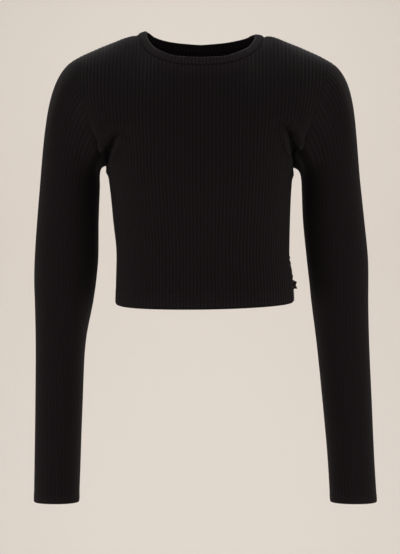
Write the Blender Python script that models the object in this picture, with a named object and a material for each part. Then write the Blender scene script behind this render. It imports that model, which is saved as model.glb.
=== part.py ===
"""Cropped long-sleeved rib-knit top, hollow as worn. Metres, +Z up, the front faces -Y.

The origin is the middle of the neck opening at the height of the neck points.
+X is the wearer's left. Each piece is a closed wall: a smooth inside, and an
outside whose columns of points stand up alternately as the knit's ribs.
"""

import math

import bpy
import numpy as np

# ---------------------------------------------------------------- sizes (m)
WALL = 0.0013  # cloth between two ribs
RIB = 0.0008  # how far a rib stands out
RIB_PITCH = 0.0050  # body, centre of one rib to the next
QUARTER = 0.185  # a quarter of the chest, round the cloth
SLEEVE_PITCH = 0.0048
SEAM_GAP = 0.0003  # between two pieces that are sewn together
HEM_TURN = 0.020  # depth of the turned hem
CUFF_TURN = 0.014
TURNED = 0.0009  # extra wall where the edge is turned up
INSIDE_STEP = 5  # one inside column for this many outside columns

RIDGE_Y = 0.012  # the shoulder seam's place, front to back
TIP_X = {-1: 0.1820, 1: 0.1876}  # shoulder seam's outer end on each side
TIP_SHARE = 0.95  # column share at which the shoulder seam ends
MID_Z = -0.115  # level across the chest
MID_PER_SHARE = 0.193  # arc length for one whole column share at that level
SCYE_SHARE = 0.850  # how far out the panel reaches at that level
CHEST_LEAN = (1.2, 0.018, 0.139)  # spread, backward lean and rise of the cloth there
DIP = {"front": 0.0091, "back": 0.0020}  # the hem's middle hangs this much lower
HEM_TILT = {-1: 0.006, 1: 0.012}  # and its -X end a little lower, for each metre across
HEM_BOW = {-1: 2.6, 1: 2.0}  # how late the hem rises to its ends

BAND = 0.0126  # neckband height
BAND_WALL = 0.0022
BAND_RIB = 0.0005

TAB_THICK = 0.0012
TAB_MIDDLE_Z = -0.3492

# ---------------------------------------------------------------- tables
# A row for each level of the body: height, the two side seams, front and back
# depth, how square the section is, and how far the side flares into the armpit.
BODY = np.array(
    [
        # z,      minus_x, plus_x, front,  back,  square, flare
        [-0.3740, 0.1183, 0.1299, 0.0960, 0.0850, 2.35, 0.0000],
        [-0.3430, 0.1176, 0.1284, 0.0955, 0.0820, 2.35, 0.0000],
        [-0.3080, 0.1168, 0.1237, 0.0960, 0.0790, 2.35, 0.0000],
        [-0.2590, 0.1215, 0.1246, 0.1010, 0.0830, 2.35, 0.0000],
        [-0.2250, 0.1248, 0.1259, 0.1075, 0.0880, 2.30, 0.0000],
        [-0.2030, 0.1275, 0.1274, 0.1095, 0.0910, 2.30, 0.0000],
        [-0.1910, 0.1290, 0.1282, 0.1095, 0.0925, 2.30, 0.0004],
        [-0.1800, 0.1300, 0.1292, 0.1085, 0.0940, 2.30, 0.0040],
    ]
)
UNDERARM_Z = BODY[-1, 0]
HEM_Z = BODY[0, 0]

# The level across the chest: half width, front depth, back depth, squareness.
MID = {"half_width": 0.1740, "front": 0.1000, "back": 0.0960, "square": 2.7}

# The shoulder's ridge: distance from the middle, height of its top.
RIDGE = np.array(
    [
        # x,      z
        [0.0000, 0.0060],
        [0.0770, 0.0050],
        [0.0890, 0.0030],
        [0.0975, 0.0009],
        [0.1098, -0.0038],
        [0.1194, -0.0082],
        [0.1298, -0.0124],
        [0.1402, -0.0167],
        [0.1496, -0.0209],
        [0.1592, -0.0251],
        [0.1680, -0.0293],
        [0.1759, -0.0336],
        [0.1825, -0.0373],
        [0.1890, -0.0412],
        [0.1980, -0.0470],
    ]
)

# How full the cloth stands between the chest level and the top, by distance from
# the middle: the pulls of the curve at its lower and upper end.
FULLNESS = np.array(
    [
        # x,   front_low, front_top, back_low, back_top
        [0.000, 0.30, 0.16, 0.42, 0.50],
        [0.060, 0.28, 0.13, 0.46, 0.56],
        [0.095, 0.26, 0.12, 0.48, 0.58],
        [0.130, 0.33, 0.28, 0.45, 0.53],
        [0.183, 0.42, 0.50, 0.42, 0.50],
    ]
)

# The neckband's top edge by angle from the middle of the front: height, and
# how far the band leans from upright.
NECK_HALF_WIDTH, NECK_FRONT, NECK_BACK = 0.0765, 0.0700, 0.0620
NECK_TILT, NECK_ROLL = 0.0025, 6.0  # the band's +X side is this much lower and flatter
TILT_POWER = 8  # how close to the neck points that stays
NECK_EASE = {-1: 0.012, 1: 0.006}  # how far the shoulder takes to meet the neckline
NECK = np.array(
    [
        # angle, z,      lean
        [0.0, -0.0385, 26.0],
        [27.0, -0.0350, 29.0],
        [43.0, -0.0280, 34.0],
        [58.0, -0.0195, 42.0],
        [72.0, -0.0090, 52.0],
        [84.0, -0.0002, 66.0],
        [95.0, 0.0048, 75.0],
        [108.0, 0.0050, 69.0],
        [122.0, 0.0014, 56.0],
        [150.0, -0.0036, 40.0],
        [180.0, -0.0065, 34.0],
    ]
)

# Each sleeve from under the arm down: height, outer edge, inner edge, the
# section's middle and half depth, front to back.
SLEEVES = {
    "sleeve_right": np.array(
        [
            # z,      outer,   inner,   middle_y, half_depth
            [-0.2150, 0.2246, 0.1412, 0.0000, 0.0490],
            [-0.2590, 0.2283, 0.1429, 0.0015, 0.0470],
            [-0.3150, 0.2319, 0.1436, 0.0015, 0.0455],
            [-0.3430, 0.2324, 0.1461, 0.0000, 0.0448],
            [-0.3710, 0.2314, 0.1500, -0.0020, 0.0438],
            [-0.4267, 0.2297, 0.1601, -0.0080, 0.0405],
            [-0.5099, 0.2293, 0.1640, -0.0180, 0.0368],
            [-0.5924, 0.2296, 0.1664, -0.0280, 0.0340],
            [-0.6495, 0.2300, 0.1680, -0.0340, 0.0325],
        ]
    ),
    "sleeve_left": np.array(
        [
            [-0.2150, 0.2241, 0.1420, 0.0000, 0.0490],
            [-0.2590, 0.2289, 0.1438, 0.0015, 0.0470],
            [-0.3150, 0.2343, 0.1492, 0.0015, 0.0455],
            [-0.3430, 0.2346, 0.1523, 0.0000, 0.0448],
            [-0.3710, 0.2343, 0.1551, -0.0020, 0.0438],
            [-0.4267, 0.2349, 0.1618, -0.0080, 0.0405],
            [-0.5099, 0.2377, 0.1698, -0.0180, 0.0368],
            [-0.5924, 0.2406, 0.1766, -0.0280, 0.0340],
            [-0.6495, 0.2436, 0.1796, -0.0340, 0.0325],
        ]
    ),
}
SLEEVE_SIDE = {"sleeve_right": -1, "sleeve_left": 1}

# How the sleeve leaves the armhole seam, by share of the way from the shoulder
# tip (0) to the underarm (1).
CAP = np.array(
    [
        # share, out,  forward, down
        [0.00, 0.78, 0.00, 0.62],
        [0.15, 0.80, 0.08, 0.60],
        [0.35, 0.66, 0.10, 0.74],
        [0.60, 0.50, 0.02, 0.86],
        [0.80, 0.52, -0.10, 0.84],
        [1.00, 0.62, 0.00, 0.78],
    ]
)

# How far that direction holds, as a share of the way to the first whole ring.
CAP_PULL = np.array([[0.0, 0.24], [0.3, 0.30], [1.0, 0.36]])

# The armpit folds: groove lines in the front view (distance from the middle,
# height), with the groove's depth at each point.
FOLDS = {
    -1: np.array(
        [
            # x,     z,       depth
            [0.1000, -0.1385, 0.0000],
            [0.1111, -0.1436, 0.0022],
            [0.1195, -0.1531, 0.0036],
            [0.1240, -0.1613, 0.0040],
            [0.1285, -0.1680, 0.0036],
            [0.1322, -0.1780, 0.0016],
        ]
    ),
    1: np.array(
        [
            [0.1060, -0.1310, 0.0000],
            [0.1140, -0.1371, 0.0022],
            [0.1215, -0.1450, 0.0036],
            [0.1268, -0.1599, 0.0040],
            [0.1318, -0.1730, 0.0036],
            [0.1345, -0.1835, 0.0016],
        ]
    ),
}
FOLD_WIDTH = 0.0050

# How far the underarm point hangs below the body's top row, and how widely.
UNDERARM_DROP = {-1: 0.0050, 1: 0.0090}
UNDERARM_REACH = 0.020

# The side tab's outline: how far out of the seam, and height from its middle.
TAB = np.array(
    [
        # out,    height
        [0.0000, -0.0058],
        [0.0034, -0.0056],
        [0.0066, -0.0060],
        [0.0044, -0.0010],
        [0.0065, 0.0034],
        [0.0050, 0.0043],
        [0.0000, 0.0066],
    ]
)

# Rows of points: body from hem (0) through underarm (1) and across the chest
# (2) to the shoulder seam and neckline (3).
BODY_ROWS = [0, 0.32, 0.66, 0.88, 1, 1.2, 1.42, 1.7, 2, 2.3, 2.55, 2.75, 2.89, 3]
# Sleeve from the armhole seam (0) through the first whole ring (1) to the cuff (8),
# in two stretches that meet at the elbow.
ELBOW, CUFF = 3.9, 8
SLEEVE_ROWS = {
    "upper": [0, 0.09, 0.26, 0.54, 1, 2.3, ELBOW],
    "lower": [ELBOW, 5.9, CUFF],
}

# Each material: colour and roughness.
MATERIALS = {
    "rib_knit": ((0.010, 0.008, 0.009, 1.0), 0.85),
    "neckband_knit": ((0.012, 0.009, 0.010, 1.0), 0.85),
    "tab_ribbon": ((0.010, 0.008, 0.009, 1.0), 0.70),
}
SHARP = math.radians(50)  # edges sharper than this stay sharp in shading


# ---------------------------------------------------------------- arithmetic
def smooth(table, column, at):
    """A smooth curve through one column of a table, read at new places of column 0."""
    x, y = table[:, 0], table[:, column]
    if x[0] > x[-1]:
        x, y = x[::-1], y[::-1]
    step = np.diff(x)
    rise = np.diff(y) / step
    slope = np.concatenate([[rise[0]], (rise[:-1] + rise[1:]) / 2, [rise[-1]]])
    flat = np.concatenate([[False], rise[:-1] * rise[1:] <= 0, [False]])
    slope[flat] = 0.0
    at = np.clip(at, x[0], x[-1])
    i = np.clip(np.searchsorted(x, at, side="right") - 1, 0, len(step) - 1)
    t = (at - x[i]) / step[i]
    return (
        y[i] * (1 + 2 * t) * (1 - t) ** 2
        + y[i + 1] * t**2 * (3 - 2 * t)
        + step[i] * (slope[i] * t * (1 - t) ** 2 + slope[i + 1] * t**2 * (t - 1))
    )


def unit(vectors):
    return vectors / np.linalg.norm(vectors, axis=-1, keepdims=True)


def top_x(share):
    """How far from the middle a column stands at the shoulder seam."""
    return share * np.where(share < 0, TIP_X[-1], TIP_X[1]) / TIP_SHARE


def run_of(points):
    """Arc length along a line of points, from its first."""
    return np.concatenate(
        [[0.0], np.cumsum(np.linalg.norm(np.diff(points, axis=0), axis=1))]
    )


def along(points, where, at):
    """Points of a line read at places along it."""
    return np.stack([np.interp(at, where, points[:, k]) for k in range(3)], axis=-1)


class Sheet:
    """A surface held as a fine grid over share (across) and level (up), with normals."""

    def __init__(self, shares, levels, points, outward):
        self.shares, self.levels, self.points = shares, levels, points
        across = np.gradient(points, axis=1)
        up = np.gradient(points, axis=0)
        self.normals = unit(np.cross(across, up)) * outward

    def read(self, grid, share, level):
        i = np.clip(
            np.searchsorted(self.shares, share, side="right") - 1,
            0,
            len(self.shares) - 2,
        )
        j = np.clip(
            np.searchsorted(self.levels, level, side="right") - 1,
            0,
            len(self.levels) - 2,
        )
        a = ((share - self.shares[i]) / (self.shares[i + 1] - self.shares[i]))[:, None]
        b = ((level - self.levels[j]) / (self.levels[j + 1] - self.levels[j]))[:, None]
        return (
            grid[j, i] * (1 - a) * (1 - b)
            + grid[j, i + 1] * a * (1 - b)
            + grid[j + 1, i] * (1 - a) * b
            + grid[j + 1, i + 1] * a * b
        )

    def at(self, share, level):
        level = np.broadcast_to(np.asarray(level, float), np.shape(share))
        return self.read(self.points, share, level), unit(
            self.read(self.normals, share, level)
        )


# ---------------------------------------------------------------- neck
def neck_ring(degrees):
    """Neckband top edge, the way the band runs down from it, by angle from the middle front (+ towards +X)."""
    turn = np.abs(degrees)
    side = np.sign(degrees) + (degrees == 0)
    angle = np.radians(turn)
    depth = np.where(turn <= 90, NECK_FRONT, NECK_BACK)
    edge = np.stack(
        [
            side * NECK_HALF_WIDTH * np.sin(angle),
            RIDGE_Y * np.sin(angle) ** 2 - depth * np.cos(angle),
            smooth(NECK, 1, turn) - NECK_TILT * side * np.sin(angle) ** TILT_POWER,
        ],
        axis=-1,
    )
    lean = np.radians(
        smooth(NECK, 2, turn) + NECK_ROLL * side * np.sin(angle) ** TILT_POWER
    )
    outward = unit(
        np.stack([side * np.sin(angle) * depth, -np.cos(angle) * NECK_HALF_WIDTH], -1)
    )
    fall = np.stack(
        [
            outward[:, 0] * np.sin(lean),
            outward[:, 1] * np.sin(lean),
            -np.cos(lean),
        ],
        axis=-1,
    )
    return edge, fall


def neck_seam(degrees):
    edge, fall = neck_ring(degrees)
    return edge + fall * BAND, fall


def neck_normal(degrees):
    """The band's outward direction at its seam, which the panels' walls share there."""
    a, fall = neck_seam(degrees - 0.5)
    b, _ = neck_seam(degrees + 0.5)
    normal = unit(np.cross(b - a, neck_ring(degrees)[1]))
    outward = np.stack(
        [np.sin(np.radians(degrees)), -np.cos(np.radians(degrees)), 0.6 + 0 * degrees], -1
    )
    return normal * np.sign((normal * outward).sum(-1))[:, None]


NECK_X = neck_seam(np.array([90.0]))[0][0, 0]  # the shoulder seam's inner end


def neck_angle(x, panel):
    """The angle at which the neckline passes this distance from the middle."""
    turns = np.linspace(0, 90, 721) if panel == "front" else np.linspace(180, 90, 721)
    reach = neck_seam(turns)[0][:, 0]
    reach = np.maximum.accumulate(reach)
    return np.interp(np.abs(x), reach, turns)


# ---------------------------------------------------------------- body
def section(minus_x, plus_x, depth, square, facing, count=181):
    """Half a body section from the -X side seam to the +X one, with arc length from its middle."""
    angle = np.linspace(-math.pi / 2, math.pi / 2, count)
    width = np.where(angle < 0, minus_x, plus_x)
    power = 2 / square
    points = np.stack(
        [
            width * np.sign(np.sin(angle)) * np.abs(np.sin(angle)) ** power,
            facing * depth * np.cos(angle).clip(0) ** power,
            np.zeros(count),
        ],
        axis=-1,
    )
    run = run_of(points)
    return points, run - run[count // 2]


def fold_depth(points):
    """How far the cloth is drawn in along the armpit folds, with a low swell beside each."""
    drawn = np.zeros(points.shape[:-1])
    for side, line in FOLDS.items():
        path = np.stack([side * line[:, 0], line[:, 1]], axis=-1)
        near = np.full(drawn.shape, np.inf)
        depth = np.zeros(drawn.shape)
        flat = points[..., [0, 2]]
        for k in range(len(path) - 1):
            leg = path[k + 1] - path[k]
            t = ((flat - path[k]) @ leg / (leg @ leg)).clip(0, 1)
            away = np.linalg.norm(flat - path[k] - t[..., None] * leg, axis=-1)
            here = away < near
            near = np.where(here, away, near)
            depth = np.where(
                here, line[k, 2] + t * (line[k + 1, 2] - line[k, 2]), depth
            )
        ratio = near / FOLD_WIDTH
        drawn += depth * (
            np.exp(-(ratio**2)) - 0.45 * np.exp(-(((ratio - 1.9) / 0.9) ** 2))
        )
    return drawn


def body_sheet(panel):
    """The surface of a panel: body sections up to the underarm, then over the chest to the shoulder."""
    facing = -1 if panel == "front" else 1
    shares = np.linspace(-1, 1, 321)
    low = np.linspace(0, 1, 61)
    rows = []
    for share_up in low:
        z = HEM_Z + share_up * (UNDERARM_Z - HEM_Z)
        minus_x, plus_x, front, back, square, flare = (
            float(smooth(BODY, k, np.array([z]))[0]) for k in range(1, 7)
        )
        depth = front if panel == "front" else back
        points, run = section(minus_x, plus_x, depth, square, facing)
        wanted = np.where(shares < 0, -shares * run[0], shares * run[-1])
        row = along(points, run, wanted)
        row[:, 0] += np.sign(shares) * flare * np.abs(shares) ** 12
        bow = np.where(shares < 0, HEM_BOW[-1], HEM_BOW[1])
        tilt = np.where(shares < 0, HEM_TILT[-1], HEM_TILT[1])
        drop = DIP[panel] * (1 - np.abs(shares) ** bow) - tilt * row[:, 0]
        row[:, 2] = z - drop * (1 - share_up) ** 2
        rows.append(row)
    low_rows = np.array(rows)
    start = low_rows[-1]
    leave = unit(low_rows[-1] - low_rows[-4])

    middle = MID["front"] if panel == "front" else MID["back"]
    points, run = section(
        MID["half_width"], MID["half_width"], middle, MID["square"], facing, 721
    )
    across = along(points, run, shares * MID_PER_SHARE)
    across[:, 2] = MID_Z

    top = np.empty_like(start)
    arrive = np.empty_like(start)
    top[:, 0] = top_x(shares)
    neck = np.abs(top[:, 0]) < NECK_X
    top[~neck, 1] = RIDGE_Y
    top[~neck, 2] = smooth(RIDGE, 1, np.abs(top[~neck, 0]))
    turns = neck_angle(top[neck, 0], panel) * np.sign(top[neck, 0] + 1e-12)
    top[neck] = neck_seam(turns)[0]
    # Just outside the neck point the ridge starts at the neckline's own height.
    for side in (-1, 1):
        corner = neck_seam(np.array([side * 90.0]))[0][0]
        outside = side * top[:, 0] >= NECK_X
        ease = np.exp(-(np.abs(top[outside, 0]) - NECK_X) / NECK_EASE[side])
        top[outside, 2] += (corner[2] - smooth(RIDGE, 1, np.array([NECK_X]))[0]) * ease
        top[outside, 1] += (corner[1] - RIDGE_Y) * ease

    # The direction in which each column crosses the chest level.
    lean = unit(
        np.stack(
            [
                (top[:, 0] - start[:, 0]) * CHEST_LEAN[0],
                np.full(len(shares), -facing * CHEST_LEAN[1]),
                np.full(len(shares), CHEST_LEAN[2]),
            ],
            axis=-1,
        )
    )

    def curve(a, ta, b, tb, t, pull_a=0.42, pull_b=0.50):
        chord = b - a
        ha = pull_a * (chord * ta).sum(-1, keepdims=True).clip(0.008)
        hb = pull_b * (chord * tb).sum(-1, keepdims=True).clip(0.008)
        p, q = a + ta * ha, b - tb * hb
        return (
            a * (1 - t) ** 3
            + 3 * p * t * (1 - t) ** 2
            + 3 * q * t**2 * (1 - t)
            + b * t**3
        )

    # How full the cloth stands between chest and top, from the middle to the neck to the tip.
    column = {"front": 1, "back": 3}[panel]
    pull_a, pull_b = (
        smooth(FULLNESS, column + k, np.abs(top[:, 0]))[:, None] for k in (0, 1)
    )
    # A column that ends on the neckline is the start of one that would run on to the
    # ridge, whose height there is worked out so that it passes through the neckline.
    arrive[:] = (0, -facing, 0)
    ridge = top.copy()
    ridge[neck, 1] = RIDGE_Y
    ridge[neck, 2] = smooth(RIDGE, 1, np.array([NECK_X]))[0]
    steps = np.linspace(0, 1, 401)[:, None, None]
    cut = np.ones(len(shares))
    which = np.flatnonzero(neck)
    for _ in range(12):
        lines = curve(
            across[which], lean[which], ridge[which], arrive[which], steps,
            pull_a[which], pull_b[which],
        )
        passed = np.argmin(np.abs(lines[:, :, 1] - top[which, 1]), axis=0)
        reached = lines[passed, np.arange(len(which)), 2]
        cut[which] = passed / 400
        weight = (3 * cut[which] ** 2 * (1 - cut[which]) + cut[which] ** 3).clip(0.12)
        ridge[which, 2] += 0.8 * (top[which, 2] - reached) / weight

    rise = [curve(start, leave, across, lean, t) for t in np.linspace(0, 1, 31)[1:]]
    over = []
    for t in np.linspace(0, 1, 41)[1:]:
        line = curve(
            across, lean, ridge, arrive, (t * cut)[:, None], pull_a, pull_b
        )
        line[neck] += (top[neck] - curve(
            across[neck], lean[neck], ridge[neck], arrive[neck], cut[neck, None],
            pull_a[neck], pull_b[neck],
        )) * t**2
        over.append(line)
    grid = np.concatenate([low_rows, np.array(rise), np.array(over)])
    levels = np.concatenate(
        [low, 1 + np.linspace(0, 1, 31)[1:], 2 + np.linspace(0, 1, 41)[1:]]
    )
    sheet = Sheet(shares, levels, grid, 1 if panel == "front" else -1)
    drawn = fold_depth(sheet.points)
    points = sheet.points - sheet.normals * drawn[..., None]
    side_seam = levels <= 1  # both panels' side seams stay in one plane
    points[side_seam, 0, 1] = points[side_seam, -1, 1] = 0.0
    for side, column in ((-1, 0), (1, -1)):
        underarm = points[len(low) - 1, column]
        away = np.linalg.norm(points - underarm, axis=-1) / UNDERARM_REACH
        points[..., 2] -= UNDERARM_DROP[side] * np.exp(-(away**2))
    return Sheet(shares, levels, points, 1 if panel == "front" else -1)


def panel_reach(level):
    """The share at which a panel ends at this level: the side seam, then the armhole."""
    if level <= 1:
        return 1.0
    if level <= 2:
        return 1 - (1 - SCYE_SHARE) * (level - 1) ** 0.62
    return SCYE_SHARE + (TIP_SHARE - SCYE_SHARE) * (level - 2) ** 1.6


# ---------------------------------------------------------------- meshing
def cloth_material(slot):
    """The material of this name, made when it is first asked for."""
    material = bpy.data.materials.get(slot)
    if material is None:
        material = bpy.data.materials.new(slot)
        material.use_nodes = True
        colour, roughness = MATERIALS[slot]
        shader = material.node_tree.nodes["Principled BSDF"]
        shader.inputs["Base Color"].default_value = colour
        shader.inputs["Roughness"].default_value = roughness
        shader.inputs["Metallic"].default_value = 0.0
    return material


class Wall:
    """A closed body made of strips between lines of points."""

    def __init__(self):
        self.points, self.faces, self.count = [], [], 0

    def line(self, points, closed=False):
        index = np.arange(self.count, self.count + len(points))
        self.points.append(np.asarray(points, float))
        self.count += len(points)
        return np.append(index, index[0]) if closed else index

    def strip(self, a, at_a, b, at_b):
        """Triangles between line a and line b, each step taken on the line whose next middle comes first."""
        i = j = 0
        while i < len(a) - 1 or j < len(b) - 1:
            if j == len(b) - 1 or (
                i < len(a) - 1 and at_a[i] + at_a[i + 1] <= at_b[j] + at_b[j + 1]
            ):
                self.faces.append((a[i], a[i + 1], b[j]))
                i += 1
            else:
                self.faces.append((a[i], b[j + 1], b[j]))
                j += 1

    def surface(self, rows, inward=False):
        for low, high in zip(rows[:-1], rows[1:]):
            if inward:
                self.strip(*high, *low)
            else:
                self.strip(*low, *high)

    def build(self, name, slot="rib_knit"):
        points = np.concatenate(self.points)
        faces = np.array(self.faces)
        a, b, c = (points[faces[:, k]] for k in range(3))
        if np.einsum("ij,ij->i", a, np.cross(b, c)).sum() < 0:
            faces = faces[:, ::-1]
        mesh = bpy.data.meshes.new(name)
        mesh.from_pydata(points.tolist(), [], faces.tolist())
        mesh.validate()
        mesh.update()
        mesh.shade_smooth()
        mesh.set_sharp_from_angle(angle=SHARP)
        mesh.materials.append(cloth_material(slot))
        made = bpy.data.objects.new(name, mesh)
        bpy.data.collections["crop_top"].objects.link(made)
        return made


def columns_within(columns, low, high, room):
    """The columns between two edges, the edges added, and which of them stand up."""
    keep = (columns > low + room) & (columns < high - room)
    where = np.concatenate([[low], columns[keep], [high]])
    raised = np.concatenate([[0], (np.arange(len(columns)) % 2)[keep], [0]])
    return where, raised.astype(float)


def body_columns():
    """The panels' columns by share, two to a rib, one of them on each neck point."""
    ribs = round(2 * QUARTER / RIB_PITCH)
    columns = np.linspace(-1, 1, 2 * ribs + 1)
    for side, tip in TIP_X.items():
        share = side * NECK_X * TIP_SHARE / tip
        columns[np.argmin(np.abs(columns - share))] = share
    return columns


def top_row(sheet, where, name):
    """A panel's last row: on the neckline, or half a gap short of the shoulder seam."""
    points, normals = sheet.at(where, BODY_ROWS[-1] - 1e-9)
    x = top_x(where)
    neck = np.abs(x) < NECK_X + 1e-9
    turns = neck_angle(x[neck], name) * np.sign(x[neck] + 1e-12)
    points[neck], fall = neck_seam(turns)
    points[neck] += fall * SEAM_GAP / 2
    normals[neck] = neck_normal(turns)
    normals[~neck] = unit(normals[~neck] * np.array([1.0, 0.0, 1.0]))
    points[:, 1] += SEAM_GAP / 2 * (-1 if name == "front" else 1)
    return points, normals


def seam_end(normal, seam, level):
    """A wall's direction at a panel's end: square to the side seam, or shared with the sleeve."""
    if level >= 1:
        return seam[level]
    return unit(normal * np.array([1.0, 0.0, 1.0]))


def panel(name, sheet, seams):
    """A body panel. seams gives the wall's direction where it meets a sleeve."""
    columns = body_columns()
    room = 0.35 * (columns[1] - columns[0])
    half_gap = SEAM_GAP / 2
    wall = Wall()
    outer, inner = [], []
    hem_rise = abs(UNDERARM_Z - HEM_Z)
    turn = HEM_TURN / hem_rise
    last = BODY_ROWS[-1]
    for level in BODY_ROWS:
        reach = panel_reach(level) - half_gap / QUARTER
        where, raised = columns_within(columns, -reach, reach, room)
        if level == last:
            points, normals = top_row(sheet, where, name)
            raised = raised * 0.0
        else:
            points, normals = sheet.at(where, level)
        for end, side in ((0, -1), (-1, 1)):
            normals[end] = seam_end(normals[end], seams[side], level)
        lift = raised[:, None] * RIB
        outer.append((wall.line(points + normals * lift), where))
    inner_levels = sorted(set(BODY_ROWS) | {turn * 0.97, turn * 1.03})
    for level in inner_levels:
        reach = panel_reach(level) - half_gap / QUARTER
        step = 1 if level == last else INSIDE_STEP
        where, _ = columns_within(columns[::step], -reach, reach, room)
        if level == last:
            points, normals = top_row(sheet, where, name)
        else:
            points, normals = sheet.at(where, level)
        for end, side in ((0, -1), (-1, 1)):
            normals[end] = seam_end(normals[end], seams[side], level)
        thick = WALL + (TURNED if level < turn else 0.0)
        inner.append((wall.line(points - normals * thick), where))
    wall.surface(outer)
    wall.surface(inner, inward=True)
    wall.strip(*inner[0], *outer[0])
    wall.strip(*outer[-1], *inner[-1])
    up_outer, up_inner = np.array(BODY_ROWS), np.array(inner_levels)
    wall.strip(
        np.array([r[0][0] for r in outer]), up_outer,
        np.array([r[0][0] for r in inner]), up_inner,
    )
    wall.strip(
        np.array([r[0][-1] for r in inner]), up_inner,
        np.array([r[0][-1] for r in outer]), up_outer,
    )
    return wall.build(name)


# ---------------------------------------------------------------- sleeves
def armhole(side, front, back):
    """The armhole's two halves from shoulder tip to underarm: points and body normals."""
    levels = [lv for lv in BODY_ROWS if lv >= 1][::-1]
    halves = {}
    for name, sheet in (("front", front), ("back", back)):
        share = np.array([side * panel_reach(lv) for lv in levels])
        read = np.array([min(lv, 3 - 1e-9) for lv in levels])
        points, normals = sheet.at(share, read)
        run = run_of(points)
        halves[name] = (points, normals, run / run[-1], np.array(levels))
    return halves


def cap_way(share, side, forward):
    """Unit direction in which the sleeve leaves the seam. forward is -1 at the front, 1 at the back."""
    return unit(
        np.stack(
            [
                side * smooth(CAP, 1, share),
                forward * smooth(CAP, 2, share),
                -smooth(CAP, 3, share),
            ],
            axis=-1,
        )
    )


def seam_normals(side, halves):
    """At each armhole point, the direction shared by the body's wall and the sleeve's."""
    found = {}
    for name, forward in (("front", -1), ("back", 1)):
        points, normals, share, levels = halves[name]
        way = cap_way(share, side, forward)
        tangent = unit(np.gradient(points, axis=0))
        across = unit(np.cross(way, tangent))
        out = np.array([0, forward * 0.9, 0.25])
        flip = np.sign((across * out).sum(-1))
        flip[share < 0.12] = np.sign(across[share < 0.12, 2])
        across = across * flip[:, None]
        mean = unit(normals + across)
        # At the very tip and the underarm both halves use one direction.
        mean[0] = unit(np.array([side * 0.55, 0, 0.84]))
        mean[-1] = (0, 0, -1.0)
        found[name] = dict(zip(levels.tolist(), mean))
    return found


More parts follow.
